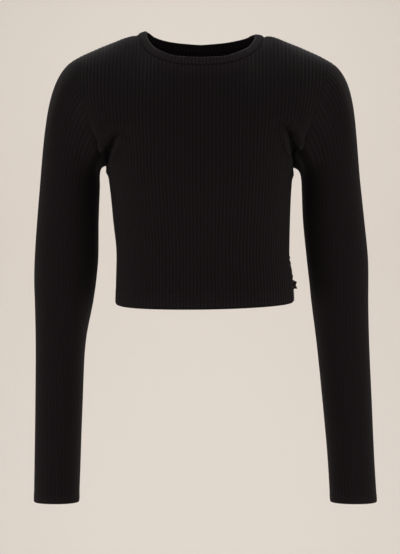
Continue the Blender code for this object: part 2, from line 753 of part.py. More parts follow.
def sleeve(name, halves, seams):
    """Both stretches of a sleeve, from the armhole to the elbow and on to the cuff."""
    side = SLEEVE_SIDE[name]
    table = SLEEVES[name]

    def ring(z, count=181):
        outer, inner, middle_y, half_depth = (
            float(smooth(table, k, np.array([z]))[0]) for k in range(1, 5)
        )
        centre, half = (outer + inner) / 2, (outer - inner) / 2
        angle = np.linspace(-math.pi, math.pi, 2 * count + 1)
        power = 2 / 2.12
        points = np.stack(
            [
                side * (centre + half * np.sign(np.cos(angle)) * np.abs(np.cos(angle)) ** power),
                middle_y - half_depth * np.sign(np.sin(angle)) * np.abs(np.sin(angle)) ** power,
                np.full(angle.shape, z),
            ],
            axis=-1,
        )
        run = run_of(points)
        return points, run - run[count], run[-1] / 2

    shares = np.linspace(-1, 1, 241)  # negative towards the back, positive towards the front
    first_z, last_z = table[0, 0], table[-1, 0]
    points, run, half_top = ring(first_z)
    first = along(points, run, shares * half_top)
    second = along(*ring(first_z - 0.004)[:2], shares * ring(first_z - 0.004)[2])
    arrive = unit(second - first)

    # Where each column meets the armhole, by share of the seam's length.
    place = np.abs(shares) - 0.038 * np.sin(2 * math.pi * np.abs(shares))
    start = np.empty_like(first)
    seam_way = np.empty_like(first)
    leave = np.empty_like(first)
    for half_name, forward, mask in (
        ("front", -1, shares >= 0),
        ("back", 1, shares < 0),
    ):
        loop, _, where, levels = halves[half_name]
        normals = np.array([seams[half_name][lv] for lv in levels.tolist()])
        start[mask] = along(loop, where, place[mask])
        seam_way[mask] = unit(along(normals, where, place[mask]))
        leave[mask] = cap_way(place[mask], side, forward)
    level_cap = np.linspace(0, 1, 41)
    cap = []
    for t in level_cap:
        chord = first - start
        length = np.linalg.norm(chord, axis=-1, keepdims=True)
        pull = np.interp(place, CAP_PULL[:, 0], CAP_PULL[:, 1])[:, None]
        p = start + leave * length * pull
        q = first - arrive * length * 0.45
        cap.append(
            start * (1 - t) ** 3
            + 3 * p * t * (1 - t) ** 2
            + 3 * q * t**2 * (1 - t)
            + first * t**3
        )
    level_fall = (first_z - last_z) / (CUFF - 1)
    tube_levels = np.linspace(1, CUFF, 71)
    tube = []
    for level in tube_levels[1:]:
        ring_points, ring_run, half = ring(first_z - level_fall * (level - 1))
        tube.append(along(ring_points, ring_run, shares * half))
    grid = np.concatenate([np.array(cap), np.array(tube)])
    levels = np.concatenate([level_cap, tube_levels[1:]])
    sheet = Sheet(shares, levels, grid, side)

    # Columns keep their distance from the sleeve's outer line, so the seam cuts them off.
    count = 2 * round(half_top / SLEEVE_PITCH)
    grain = np.arange(-count - 1, count + 2) * SLEEVE_PITCH / 2
    stand = (np.arange(len(grain)) % 2).astype(float)

    def rows(wall, levels_wanted, step, thickness):
        made = []
        for level in levels_wanted:
            if level <= 1:
                half = half_top
            else:
                half = ring(first_z - level_fall * (level - 1))[2]
            edge = half - 0.3 * SLEEVE_PITCH
            keep = (np.abs(grain) < edge)
            middle = len(grain) // 2
            if step > 1:
                keep &= (np.arange(len(grain)) - middle) % step == 0
            where = np.concatenate([[-half], grain[keep]])
            lift = np.concatenate([[0.0], stand[keep]])
            points, normals = sheet.at(where / half, min(level, CUFF - 1e-9))
            if level == 0:
                normals = sheet_seam(where / half)
                points = points + cap_leave(where / half) * SEAM_GAP
                lift = lift * 0.0
            shift = (
                lift * RIB if thickness is None else -np.full(len(where), thickness(level))
            )
            index = wall.line(points + normals * shift[:, None], closed=True)
            made.append((index, np.append(where, half)))
        return made

    def sheet_seam(share):
        return unit(along(seam_way, shares, share))

    def cap_leave(share):
        return unit(along(leave, shares, share))

    turn = CUFF - CUFF_TURN / level_fall
    for stretch, levels in SLEEVE_ROWS.items():
        if stretch == "lower":
            levels = [levels[0] + SEAM_GAP / level_fall, *levels[1:]]
            inside_levels = sorted([*levels, turn - 0.02, turn + 0.02])
        else:
            inside_levels = levels
        wall = Wall()
        outer = rows(wall, levels, 1, None)
        inner = rows(
            wall, inside_levels, 4, lambda level: WALL + (TURNED if level > turn else 0.0)
        )
        wall.surface(outer)
        wall.surface(inner, inward=True)
        wall.strip(*inner[0], *outer[0])
        wall.strip(*outer[-1], *inner[-1])
        wall.build(f"{name}_{stretch}")


# ---------------------------------------------------------------- neckband
def neckband(sheets):
    """The ring of doubled rib cloth that stands on the neckline, its points shared with the panels'."""
    turns = []
    x = top_x(body_columns())
    x = x[np.abs(x) < NECK_X - 1e-9]
    front = neck_angle(x, "front") * np.sign(x + 1e-12)
    back = neck_angle(x, "back") * np.sign(x + 1e-12)
    back = np.where(back < 0, back + 360, back)
    right = np.sort(np.concatenate([front, [90.0, -90.0], back - 360 * (back > 270)]))
    nodes = np.unique(np.round(np.mod(right, 360), 6))
    nodes = np.append(nodes, nodes[0] + 360)
    at = (nodes + 180) % 360 - 180
    seam, fall = neck_seam(at)
    known = np.concatenate([nodes[:, None], seam, fall, neck_normal(at)], axis=1)
    for a, b in zip(known[:-1], known[1:]):
        parts = max(1, round(float(np.linalg.norm(b[1:4] - a[1:4])) / (RIB_PITCH / 2)))
        turns += [a + (b - a) * k / parts for k in range(parts)]
    turns = np.array(turns)
    degrees = turns[:, 0]
    low = turns[:, 1:4] - turns[:, 4:7] * SEAM_GAP
    low_normal = unit(turns[:, 7:10])
    signed = (degrees + 180) % 360 - 180
    edge, fall = neck_ring(signed)
    normal = neck_normal(signed)
    stand = (np.arange(len(degrees)) % 2)[:, None] * BAND_RIB
    where = np.append(degrees, degrees[0] + 360)
    wall = Wall()
    bulge = 0.0006
    middle = (low + edge) / 2 + normal * bulge
    outer = [
        (wall.line(low + low_normal * 0.0002, True), where),
        (wall.line(middle + normal * stand, True), where),
        (wall.line(edge + fall * 0.0007 + normal * stand * 0.6, True), where),
    ]
    pick = np.arange(0, len(degrees), 3)
    some = np.append(degrees[pick], degrees[pick][0] + 360)
    inner = [
        (wall.line(low - low_normal * WALL, True), where),
        (wall.line((middle - normal * BAND_WALL)[pick], True), some),
        (wall.line((edge - normal * (BAND_WALL - 0.0004))[pick], True), some),
    ]
    wall.surface(outer)
    wall.surface(inner, inward=True)
    wall.strip(*inner[0], *outer[0])
    wall.strip(*outer[-1], *inner[-1])
    return wall.build("neckband", "neckband_knit")


# ---------------------------------------------------------------- side tab
def side_tab(sheet):
    """A flat ribbon tab standing out of the side seam, with a notch in its outer end."""
    rows = sheet.at(np.ones(2), BODY_ROWS[:2])[0]
    height = TAB_MIDDLE_Z + TAB[:, 1]
    seam_x = np.interp(height, rows[:, 2], rows[:, 0])
    wall = Wall()
    rows = []
    for side in (-1, 1):
        line = np.stack(
            [
                seam_x + SEAM_GAP + TAB[:, 0],
                np.full(len(TAB), side * TAB_THICK / 2),
                height,
            ],
            axis=-1,
        )
        rows.append((wall.line(line, True), np.arange(len(TAB) + 1.0)))
    wall.surface(rows)
    notch = 3
    for (face, _), turned in zip(rows, (True, False)):
        for k in [*range(notch + 1, len(TAB) - 1), *range(0, notch - 1), len(TAB) - 1]:
            corner = (face[notch], face[k], face[(k + 1) % len(TAB)])
            wall.faces.append(corner[::-1] if turned else corner)
    return wall.build("side_tab", "tab_ribbon")


def main():
    for old in list(bpy.data.objects):
        bpy.data.objects.remove(old)
    bpy.context.scene.collection.children.link(bpy.data.collections.new("crop_top"))
    sheets = {name: body_sheet(name) for name in ("front", "back")}
    halves = {side: armhole(side, sheets["front"], sheets["back"]) for side in (-1, 1)}
    seams = {side: seam_normals(side, halves[side]) for side in (-1, 1)}
    for name in ("front", "back"):
        panel(name, sheets[name], {side: seams[side][name] for side in (-1, 1)})
    for name, side in SLEEVE_SIDE.items():
        sleeve(name, halves[side], seams[side])
    neckband(sheets)
    side_tab(sheets["front"])


main()
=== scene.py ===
"""A cropped long-sleeved top in black rib knit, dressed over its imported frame.

Metres, +Z up, the front faces -Y and +X is the wearer's left. The origin is the
middle of the neck opening at the height of the neck points.
"""

import math

import bpy
import numpy as np
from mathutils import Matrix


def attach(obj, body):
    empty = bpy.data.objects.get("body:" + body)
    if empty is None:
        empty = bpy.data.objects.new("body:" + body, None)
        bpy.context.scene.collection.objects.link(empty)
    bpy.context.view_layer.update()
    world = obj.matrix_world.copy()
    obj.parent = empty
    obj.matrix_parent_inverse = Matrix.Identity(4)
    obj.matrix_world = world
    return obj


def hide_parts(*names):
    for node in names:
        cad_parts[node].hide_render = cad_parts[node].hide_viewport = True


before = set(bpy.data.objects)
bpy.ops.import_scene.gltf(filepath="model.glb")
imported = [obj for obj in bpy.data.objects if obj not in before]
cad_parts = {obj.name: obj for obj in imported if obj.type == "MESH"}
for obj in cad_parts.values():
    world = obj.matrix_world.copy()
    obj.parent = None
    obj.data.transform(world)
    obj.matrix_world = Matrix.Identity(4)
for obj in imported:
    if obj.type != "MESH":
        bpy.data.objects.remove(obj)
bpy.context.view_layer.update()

bl_info = {
    "name": "Rib Knit Crop Top",
    "version": (1, 0, 0),
    "blender": (4, 5, 0),
    "location": "3D View > Sidebar > Crop Top",
    "description": "Builds a cropped long-sleeved rib-knit top piece by piece",
    "category": "Add Mesh",
}

# ---------------------------------------------------------------- fixed measures (m)
# The cloth's form. -1 is the -X side, 1 the +X side.
QUARTER = 0.185  # a quarter of the chest, round the cloth
FACING = {"front": -1, "back": 1}
RIDGE_Y = 0.012  # where the shoulder seam runs, front to back
TIP_X = {-1: 0.1820, 1: 0.1876}  # the shoulder tips
TIP_SHARE, SCYE_SHARE = 0.95, 0.850  # where a panel ends at its tip and at the chest
SCYE_POWERS = (0.62, 1.6)  # how the armhole runs in below the chest, and out above it
MID_Z, MID_PER_SHARE = -0.115, 0.193  # the level across the chest
CHEST_LEAN = (1.2, 0.018, 0.139)  # the way the columns pass that level
RISE_PULLS = (0.42, 0.50)  # from the underarm to the chest
LEAST_REACH = 0.008  # a cubic's shortest pull
DIP = {"front": 0.0091, "back": 0.0020}  # of the hem's middle
HEM_TILT, HEM_BOW = {-1: 0.006, 1: 0.012}, {-1: 2.6, 1: 2.0}
FLARE_POWER = 12
NECK_POINT_SPAN, NECK_POINT_WIDTH = 34, 0.022  # columns each way, and distance
CAP_SHIFT, CAP_ARRIVE = 0.038, 0.45
TIP_OUT, TIP_UP = 0.55, 0.84  # the wall's direction at the shoulder tip
SLEEVE_SQUARE = 2.12  # how square a sleeve's section is, 2 for an ellipse
BAND, BAND_WALL, BAND_SWELL = 0.0126, 0.0022, 0.0007  # its width, wall and bulge
TAB_MIDDLE_Z, TAB_LAP, TAB_CURL, TAB_HALF_WALL = -0.3492, 0.0006, 0.0007, 0.00045

# The knit and its seams.
BODY_RIBS = 74  # on each panel
SLEEVE_PITCH = 0.0048
RIB_POWER = 0.62  # below 1 makes a rib's top broad
RIB_UV = 0.0050  # one rib in the cloth map, whatever its real pitch
SEAM_LAP = 0.0005  # how far two sewn pieces run into each other
SIDE_SEAM, TOP_SEAM, SET_SEAM = 0.0013, 0.0012, 0.0014  # how wide each draws in
NECK_GROOVE_WIDTH = 0.0021
RIB_FADES = {  # towards a seam: the height left at it, from where and over how far
    "side": (0.25, 0.0004, 0.0028),
    "top": (0.15, 0.0004, 0.0030),
    "cap": (0.10, 0.0008, 0.0040),
}
TURN_FADE, TURN_SHOWS = 0.0016, 0.35  # where the turned layer ends, how much it shows
EDGE_ROWS = np.array([0, 0.0002, 0.0005, 0.0009, 0.0014, 0.0022])  # at a rounded edge
EVEN_FROM = 0.0045  # above an edge the rows are evenly spaced
LAST = 1e-9  # keeps a reading inside the last cell of a grid

# The stitching.
CUFF_ROWS = (0.0088, 0.0053)  # the two rows above the cuff's edge
HEM_ROWS = (0.0010, 0.0045)  # the two at the hem, below the turned layer's end
SEWN_SHARE = 0.998  # how far towards the side seams a row runs
PRESSED, SINK_WIDTH = 0.7, 0.0011  # how flat and how wide a row presses the ribs
SERGED = (-0.0010, 0.0235, 9)  # below the tab's middle: from, to, and how many threads
SERGED_REACH = (0.0050, 0.0340, 30)  # in from the seam: from, to, and points on a line
SERGED_SLOPE = 0.12
SERGING_THREAD = (0.0068, 0.0013)  # its loops are longer and thicker than the stitches
SERGING_HIGHLIGHT_SHADE = (2.4, -0.85)  # a painted highlight on one loop, then painted shade on the next
SEAM_RIDGE_Z = (-0.3420, -0.3080)  # above the tab the seam's edge stands out
SEAM_RIDGES = ((0.0012, -0.9), (0.0150, 1.6))  # in from the seam, and the tone: painted shade at the seam's edge, a painted highlight on the ridge inside it

# Tones are shares by which the cloth's colour is made lighter (+) or darker (-); most of them are
# painted light and painted shade.
INSIDE_PAINTED_LIGHT = 0.8  # painted light on the knit's inside
UNDER_NECK_TONE, UNDER_NECK_SPAN = 0.50, 0.035  # lighter below the neck seam, away from its ends
UNDER_NECK_FROM, UNDER_NECK_FADE = 0.006, 0.016
NECK_GROOVE_SHADE, BAND_SEAM_SHADE = -1.10, -0.80  # painted shade in the groove along the neck seam
HEM_PAINTED_LIGHT, CUFF_PAINTED_LIGHT = 0.28, 0.30  # painted light over the turned layer
HEM_HIGHLIGHT = (0.35, 0.0052, 0.0017)  # a painted highlight line: tone, height and width
HEM_EDGE_SHADE, CUFF_EDGE_SHADE = (-0.95, 0.0026), (-0.7, 0.0014)  # painted shade at the edges: tone and width
# Painted shade along the armhole seam, on the panels and on the sleeves, and in the armpit's corner.
ARMHOLE_SHADE, CAP_SEAM_SHADE = (-0.42, 0.0040), (-0.30, 0.0025)
ARMPIT_SHADE = (-0.65, 0.011)
# Painted shade darkening the grooves between ribs.
GROOVE_SHADE_COLOUR = (0.0016, 0.0010, 0.0012, 1.0)
FINE_BUMP, FLAT_BUMP = 0.00025, 0.0001  # how deep loops and plain threads are

# The stage. Each light: its setting, place, what it is aimed at, and size.
VIEW_Z, VIEW_ROWS, ROW_METRES, SENSOR = -0.3388, 554, 0.0014, 36
FLOOR_CURVE = (1.2, 5.4)  # radius, and how far back the backdrop stands
LIGHTS = {
    "key": ("key_power", (-0.2, -3.0, 0.5), (0, 0, -0.32), 2.2),
    "left_side": ("side_power", (-1.7, -0.85, -0.65), (0, 0, -0.5), 1.0),
    "right_side": ("side_power", (1.7, -0.85, -0.65), (0, 0, -0.5), 1.0),
    "top": ("top_power", (0.0, -0.3, 1.6), (0, 0, -0.2), 1.2),
    "backdrop": ("backdrop_power", (0, 2.4, 1.8), (0, 3.0, -1.7), 2.4),
}

# A row for each level of the body: height, the two side seams, front and back
# depth, how square the section is, and how far the side flares into the armpit.
BODY = np.array([
    # z,      minus_x, plus_x, front,  back,  square, flare
    [-0.3740, 0.1183, 0.1299, 0.0960, 0.0850, 2.35, 0.0000],
    [-0.3430, 0.1176, 0.1284, 0.0955, 0.0820, 2.35, 0.0000],
    [-0.3080, 0.1168, 0.1237, 0.0960, 0.0790, 2.35, 0.0000],
    [-0.2590, 0.1215, 0.1246, 0.1010, 0.0830, 2.35, 0.0000],
    [-0.2250, 0.1248, 0.1259, 0.1075, 0.0880, 2.30, 0.0000],
    [-0.2030, 0.1275, 0.1274, 0.1095, 0.0910, 2.30, 0.0000],
    [-0.1910, 0.1290, 0.1282, 0.1095, 0.0925, 2.30, 0.0004],
    [-0.1800, 0.1300, 0.1292, 0.1085, 0.0940, 2.30, 0.0040],
])
UNDERARM_Z = BODY[-1, 0]
HEM_Z = BODY[0, 0]
HEM_RISE = UNDERARM_Z - HEM_Z

# The level across the chest: half width, front depth, back depth, squareness.
MID = {"half_width": 0.1740, "front": 0.1000, "back": 0.0960, "square": 2.7}

# The shoulder's ridge: distance from the middle, height of its top.
RIDGE = np.array([
    # x,      z
    [0.0000, 0.0060],
    [0.0770, 0.0050],
    [0.0890, 0.0030],
    [0.0975, 0.0009],
    [0.1098, -0.0038],
    [0.1194, -0.0082],
    [0.1298, -0.0124],
    [0.1402, -0.0167],
    [0.1496, -0.0209],
    [0.1592, -0.0251],
    [0.1680, -0.0293],
    [0.1759, -0.0336],
    [0.1825, -0.0373],
    [0.1890, -0.0412],
    [0.1980, -0.0470],
])

# How full the cloth stands between chest and top, by distance from the middle.
FULLNESS = np.array([
    # x,   front_low, front_top, back_low, back_top
    [0.000, 0.30, 0.16, 0.42, 0.50],
    [0.060, 0.28, 0.13, 0.46, 0.56],
    [0.095, 0.26, 0.12, 0.48, 0.58],
    [0.130, 0.33, 0.28, 0.45, 0.53],
    [0.183, 0.42, 0.50, 0.42, 0.50],
])

# The neckband's top edge by angle from the middle of the front.
NECK_HALF_WIDTH, NECK_FRONT, NECK_BACK = 0.0765, 0.0700, 0.0620
NECK_TILT, NECK_ROLL = 0.0025, 6.0
TILT_POWER = 8
NECK_EASE = {-1: 0.012, 1: 0.006}
NECK = np.array([
    # angle, z,      lean
    [0.0, -0.0385, 26.0],
    [27.0, -0.0350, 29.0],
    [43.0, -0.0280, 34.0],
    [58.0, -0.0195, 42.0],
    [72.0, -0.0090, 52.0],
    [84.0, -0.0002, 66.0],
    [95.0, 0.0048, 75.0],
    [108.0, 0.0050, 69.0],
    [122.0, 0.0014, 56.0],
    [150.0, -0.0036, 40.0],
    [180.0, -0.0065, 34.0],
])

# Both sleeves from under the arm down: the right one's outline, then the left one's.
SLEEVES = np.array([
    # z,     middle_y, half_depth, outer, inner, outer, inner
    [-0.2150, 0.0000, 0.0490, 0.2246, 0.1412, 0.2241, 0.1420],
    [-0.2590, 0.0015, 0.0470, 0.2283, 0.1429, 0.2289, 0.1438],
    [-0.3150, 0.0015, 0.0455, 0.2319, 0.1436, 0.2343, 0.1492],
    [-0.3430, 0.0000, 0.0448, 0.2324, 0.1461, 0.2346, 0.1523],
    [-0.3710, -0.0020, 0.0438, 0.2314, 0.1500, 0.2343, 0.1551],
    [-0.4267, -0.0080, 0.0405, 0.2297, 0.1601, 0.2349, 0.1618],
    [-0.5099, -0.0180, 0.0368, 0.2293, 0.1640, 0.2377, 0.1698],
    [-0.5924, -0.0280, 0.0340, 0.2296, 0.1664, 0.2406, 0.1766],
    [-0.6495, -0.0340, 0.0325, 0.2300, 0.1680, 0.2436, 0.1796],
])
SLEEVE_SIDE = {"sleeve_right": -1, "sleeve_left": 1}
SLEEVE_COLUMNS = {-1: (1, 2, 3, 4), 1: (1, 2, 5, 6)}

# How the sleeve leaves the armhole seam, from the shoulder tip (0) to the underarm (1).
CAP = np.array([
    # share, out,  forward, down
    [0.00, 0.78, 0.00, 0.62],
    [0.15, 0.80, 0.00, 0.60],
    [0.35, 0.66, -0.24, 0.74],
    [0.60, 0.52, -0.40, 0.80],
    [0.80, 0.60, -0.25, 0.76],
    [0.92, 0.86, -0.12, 0.42],
    [1.00, 1.00, 0.00, 0.14],
])
CAP_PULL = np.array([[0.0, 0.24], [0.3, 0.30], [1.0, 0.36]])

# The armpit folds: groove lines in the front view, with the groove's depth.
FOLDS = {
    -1: np.array([
        # x,     z,       depth
        [0.0940, -0.1415, 0.0000],
        [0.1030, -0.1418, 0.0036],
        [0.1120, -0.1460, 0.0056],
        [0.1195, -0.1535, 0.0066],
        [0.1240, -0.1613, 0.0075],
        [0.1285, -0.1680, 0.0070],
        [0.1322, -0.1780, 0.0030],
    ]),
    1: np.array([
        [0.0970, -0.1310, 0.0000],
        [0.1060, -0.1322, 0.0036],
        [0.1150, -0.1368, 0.0056],
        [0.1215, -0.1450, 0.0070],
        [0.1268, -0.1599, 0.0080],
        [0.1318, -0.1730, 0.0075],
        [0.1345, -0.1835, 0.0030],
    ]),
}
FOLD_WIDTH = 0.0056
SWELL_SHARE, SWELL_PLACE, SWELL_WIDTH = 0.60, 1.9, 0.9  # of its depth, and of its width

# How far the cloth beside the armhole stands forward of the body, and how far in
# from the armhole that reaches, by level from the underarm (1) past the chest (2).
SWELL = np.array([
    # level, front,  back,   reach
    [1.00, 0.0000, 0.0000, 0.008],
    [1.02, 0.0100, 0.0060, 0.008],
    [1.05, 0.0215, 0.0120, 0.009],
    [1.12, 0.0330, 0.0170, 0.016],
    [1.28, 0.0370, 0.0190, 0.025],
    [1.50, 0.0275, 0.0150, 0.032],
    [1.80, 0.0100, 0.0050, 0.034],
    [2.20, 0.0000, 0.0000, 0.034],
])

# How far the underarm point hangs below the body's top row, and how widely.
UNDERARM_DROP = {-1: 0.0050, 1: 0.0090}
UNDERARM_REACH = 0.020

# The side tab's free edge: how far out of the seam it reaches, by height.
TAB_EDGE = np.array([
    # height,  out
    [-0.0060, 0.0062],
    [-0.0052, 0.0064],
    [-0.0010, 0.0044],
    [0.0034, 0.0065],
    [0.0046, 0.0046],
    [0.0066, 0.0006],
])


# ---------------------------------------------------------------- arithmetic
def cell(marks, at):
    """Which cell of a row of marks holds a value, and the share of the way across it."""
    i = np.clip(np.searchsorted(marks, at, side="right") - 1, 0, len(marks) - 2)
    return i, (at - marks[i]) / (marks[i + 1] - marks[i])


def smooth(table, column, at):
    """A smooth curve through one column of a table: cubic between rows, its slope at
    each row the mean of its neighbours'."""
    x, y = table[:, 0], table[:, column]
    if x[0] > x[-1]:
        x, y = x[::-1], y[::-1]
    step = np.diff(x)
    rise = np.diff(y) / step
    slope = np.concatenate([[rise[0]], (rise[:-1] + rise[1:]) / 2, [rise[-1]]])
    slope[1:-1][rise[:-1] * rise[1:] <= 0] = 0.0
    i, t = cell(x, np.clip(at, x[0], x[-1]))
    return (
        y[i] * (1 + 2 * t) * (1 - t) ** 2
        + y[i + 1] * t**2 * (3 - 2 * t)
        + step[i] * (slope[i] * t * (1 - t) ** 2 + slope[i + 1] * t**2 * (t - 1))
    )


def row_at(table, columns, at):
    """Several columns of a table, each read by the smooth curve through it."""
    return (float(smooth(table, k, np.array([at]))[0]) for k in columns)


def stacked(*parts):
    """Points from their coordinates, one array for each."""
    return np.stack(np.broadcast_arrays(*parts), axis=-1)


def signed_power(wave, power):
    """A wave raised to a power with its sign kept, which squares off an ellipse."""
    return np.sign(wave) * np.abs(wave) ** power


def unit(vectors):
    """Vectors of length 1 in the same directions."""
    return vectors / np.linalg.norm(vectors, axis=-1, keepdims=True)


def ease(t):
    """0 below 0, 1 above 1 and a smooth S between."""
    t = np.clip(t, 0, 1)
    return t * t * (3 - 2 * t)


def bell(distance, width):
    """1 at no distance and smoothly less on both sides, over a width."""
    return np.exp(-((distance / width) ** 2))


def shade(distance, line):
    """The tone of a line of painted shade in the cloth, given as tone and width."""
    return line[0] * bell(distance, line[1])


def run_of(points):
    """Arc length along a line of points, from its first."""
    return np.concatenate([[0.0], np.cumsum(np.linalg.norm(np.diff(points, axis=0), axis=1))])


def along(points, where, at):
    """Points of a line read at places along it."""
    return stacked(*(np.interp(at, where, points[:, k]) for k in range(3)))


def cubic(a, p, q, b, t):
    """A cubic from a to b that is pulled towards p, then towards q."""
    return a * (1 - t) ** 3 + 3 * p * t * (1 - t) ** 2 + 3 * q * t**2 * (1 - t) + b * t**3


def bezier(a, leave, b, arrive, t, pull_a, pull_b):
    """A cubic from a to b that leaves and arrives in given directions; each pull is a
    share of the chord along its direction."""
    chord = b - a
    reach_a = pull_a * (chord * leave).sum(-1, keepdims=True).clip(LEAST_REACH)
    reach_b = pull_b * (chord * arrive).sum(-1, keepdims=True).clip(LEAST_REACH)
    return cubic(a, a + leave * reach_a, b - arrive * reach_b, b, t)


class Cloth:
    """A surface held as a fine grid over share (across) and level (up), with its
    outward normals."""

    def __init__(self, shares, levels, points, outward):
        self.shares, self.levels, self.points = shares, levels, points
        across = np.gradient(points, axis=1)
        up = np.gradient(points, axis=0)
        self.normals = unit(np.cross(across, up)) * outward

    def read(self, grid, share, level):
        """Bilinear reading of a grid at arrays of share and level."""
        (i, a), (j, b) = cell(self.shares, share), cell(self.levels, level)
        a, b = a[..., None], b[..., None]
        return (
            grid[j, i] * (1 - a) * (1 - b)
            + grid[j, i + 1] * a * (1 - b)
            + grid[j + 1, i] * (1 - a) * b
            + grid[j + 1, i + 1] * a * b
        )

    def at(self, share, level):
        """Points and outward normals at arrays of share and level."""
        share, level = np.broadcast_arrays(np.asarray(share, float), np.asarray(level, float))
        normals = self.read(self.normals, share, level)
        return self.read(self.points, share, level), unit(normals)


# ---------------------------------------------------------------- neck
def neck_ring(degrees):
    """The band's top edge and the way the band runs down from it: half an ellipse in
    front and a shallower half behind, its height and the band's lean read from the neck
    table by angle from the middle front."""
    turn = np.abs(degrees)
    side = np.sign(degrees) + (degrees == 0)
    angle = np.radians(turn)
    depth = np.where(turn <= 90, NECK_FRONT, NECK_BACK)
    tilt = side * np.sin(angle) ** TILT_POWER
    edge = stacked(
        side * NECK_HALF_WIDTH * np.sin(angle),
        RIDGE_Y * np.sin(angle) ** 2 - depth * np.cos(angle),
        smooth(NECK, 1, turn) - NECK_TILT * tilt,
    )
    lean = np.radians(smooth(NECK, 2, turn) + NECK_ROLL * tilt)
    outward = unit(stacked(side * np.sin(angle) * depth, -np.cos(angle) * NECK_HALF_WIDTH))
    sideways = outward * np.sin(lean)[..., None]
    return edge, stacked(sideways[..., 0], sideways[..., 1], -np.cos(lean))


def neck_seam(degrees):
    """The band's lower edge, where the panels are sewn to it, and the way it runs down."""
    edge, fall = neck_ring(degrees)
    return edge + fall * BAND, fall


def neck_normal(degrees):
    """The band's outward direction at its seam, which the panels share there."""
    a, _ = neck_seam(degrees - 0.5)
    b, _ = neck_seam(degrees + 0.5)
    normal = unit(np.cross(b - a, neck_ring(degrees)[1]))
    angle = np.radians(degrees)
    outward = stacked(np.sin(angle), -np.cos(angle), 0.6)
    return normal * np.sign((normal * outward).sum(-1))[..., None]


NECK_X = neck_seam(np.array([90.0]))[0][0, 0]  # the shoulder seam's inner end


def neck_angle(x, panel):
    """The angle at which the neckline passes this distance from the middle."""
    turns = np.linspace(0, 90, 1441) if panel == "front" else np.linspace(180, 90, 1441)
    reach = np.maximum.accumulate(neck_seam(turns)[0][:, 0])
    return np.interp(np.abs(x), reach, turns)


# ---------------------------------------------------------------- body
def top_x(share):
    """How far from the middle a column stands at the shoulder seam."""
    return share * np.where(share < 0, TIP_X[-1], TIP_X[1]) / TIP_SHARE


def section(minus_x, plus_x, depth, square, facing, count=721):
    """Half a body section, a superellipse from the -X side seam to the +X one, with arc
    length from its middle."""
    angle = np.linspace(-math.pi / 2, math.pi / 2, count)
    width = np.where(angle < 0, minus_x, plus_x)
    power = 2 / square
    x = width * signed_power(np.sin(angle), power)
    points = stacked(x, facing * depth * np.cos(angle).clip(0) ** power, 0.0)
    run = run_of(points)
    return points, run - run[count // 2]


def fold_depth(points):
    """How far the cloth is drawn in: a bell across each armpit fold's line, with a low
    swell on both sides of it."""
    drawn = np.zeros(points.shape[:-1])
    flat = points[..., [0, 2]]
    for side, line in FOLDS.items():
        path = line[:, :2] * (side, 1)
        near = np.full(drawn.shape, np.inf)
        depth = np.zeros(drawn.shape)
        for k, leg in enumerate(np.diff(path, axis=0)):
            t = ((flat - path[k]) @ leg / (leg @ leg)).clip(0, 1)
            away = np.linalg.norm(flat - path[k] - t[..., None] * leg, axis=-1)
            here = away < near
            near = np.where(here, away, near)
            depth = np.where(here, line[k, 2] + t * (line[k + 1, 2] - line[k, 2]), depth)
        ratio = near / FOLD_WIDTH
        drawn += depth * (bell(ratio, 1) - SWELL_SHARE * bell(ratio - SWELL_PLACE, SWELL_WIDTH))
    return drawn


def eased_below_neck_points(grid, levels, top):
    """The cloth runs on smoothly below each end of the neckline, where columns that end
    on the shoulder seam and columns that end on the neckline would meet in a fold: each
    point there moves towards the mean of its row, weighted by a raised cosine."""
    offsets = np.arange(-NECK_POINT_SPAN, NECK_POINT_SPAN + 1)
    weights = 1 + np.cos(math.pi * offsets / (NECK_POINT_SPAN + 1))
    columns = np.arange(len(top))
    mean = sum(
        weight * grid[:, np.clip(columns + offset, 0, columns[-1])]
        for weight, offset in zip(weights / weights.sum(), offsets)
    )
    near = bell(np.abs(top) - NECK_X, NECK_POINT_WIDTH)
    share = ease((levels - 1.0) / 0.3) * ease((3 - levels) / 0.16)
    share = (share[:, None] * near)[..., None]
    return grid * (1 - share) + mean * share


def lower_body(panel, shares, marks):
    """Rows of a panel from the hem to the underarm. The hem dips in the middle and tilts
    to its sides, and the top rows flare into the armpits."""
    facing = FACING[panel]
    minus = shares < 0
    bow, tilt = (np.where(minus, pair[-1], pair[1]) for pair in (HEM_BOW, HEM_TILT))
    rows = []
    for mark in marks:
        z = HEM_Z + mark * HEM_RISE
        minus_x, plus_x, front, back, square, flare = row_at(BODY, range(1, 7), z)
        depth = front if panel == "front" else back
        points, run = section(minus_x, plus_x, depth, square, facing)
        row = along(points, run, np.where(minus, -shares * run[0], shares * run[-1]))
        row[:, 0] += np.sign(shares) * flare * np.abs(shares) ** FLARE_POWER
        drop = DIP[panel] * (1 - np.abs(shares) ** bow) - tilt * row[:, 0]
        row[:, 2] = z - drop * (1 - mark) ** 2
        rows.append(row)
    return np.array(rows)


def top_edge(panel, shares):
    """A panel's top: the neckline between the neck points, the shoulder seam outside
    them, let down into each other. Also which columns end on the neckline, and the
    height of the shoulder's ridge at the neck points."""
    x = top_x(shares)
    distance = np.abs(x)
    top = stacked(x, RIDGE_Y, smooth(RIDGE, 1, distance))
    neck = distance < NECK_X
    top[neck] = neck_seam(neck_angle(x[neck], panel) * np.sign(x[neck] + 1e-12))[0]
    ridge_z = smooth(RIDGE, 1, np.array([NECK_X]))[0]
    for side in (-1, 1):
        corner = neck_seam(np.array([side * 90.0]))[0][0]
        outside = side * x >= NECK_X
        fade = np.exp(-(distance[outside] - NECK_X) / NECK_EASE[side])
        top[outside, 1] += (corner[1] - RIDGE_Y) * fade
        top[outside, 2] += (corner[2] - ridge_z) * fade
    return top, neck, ridge_z


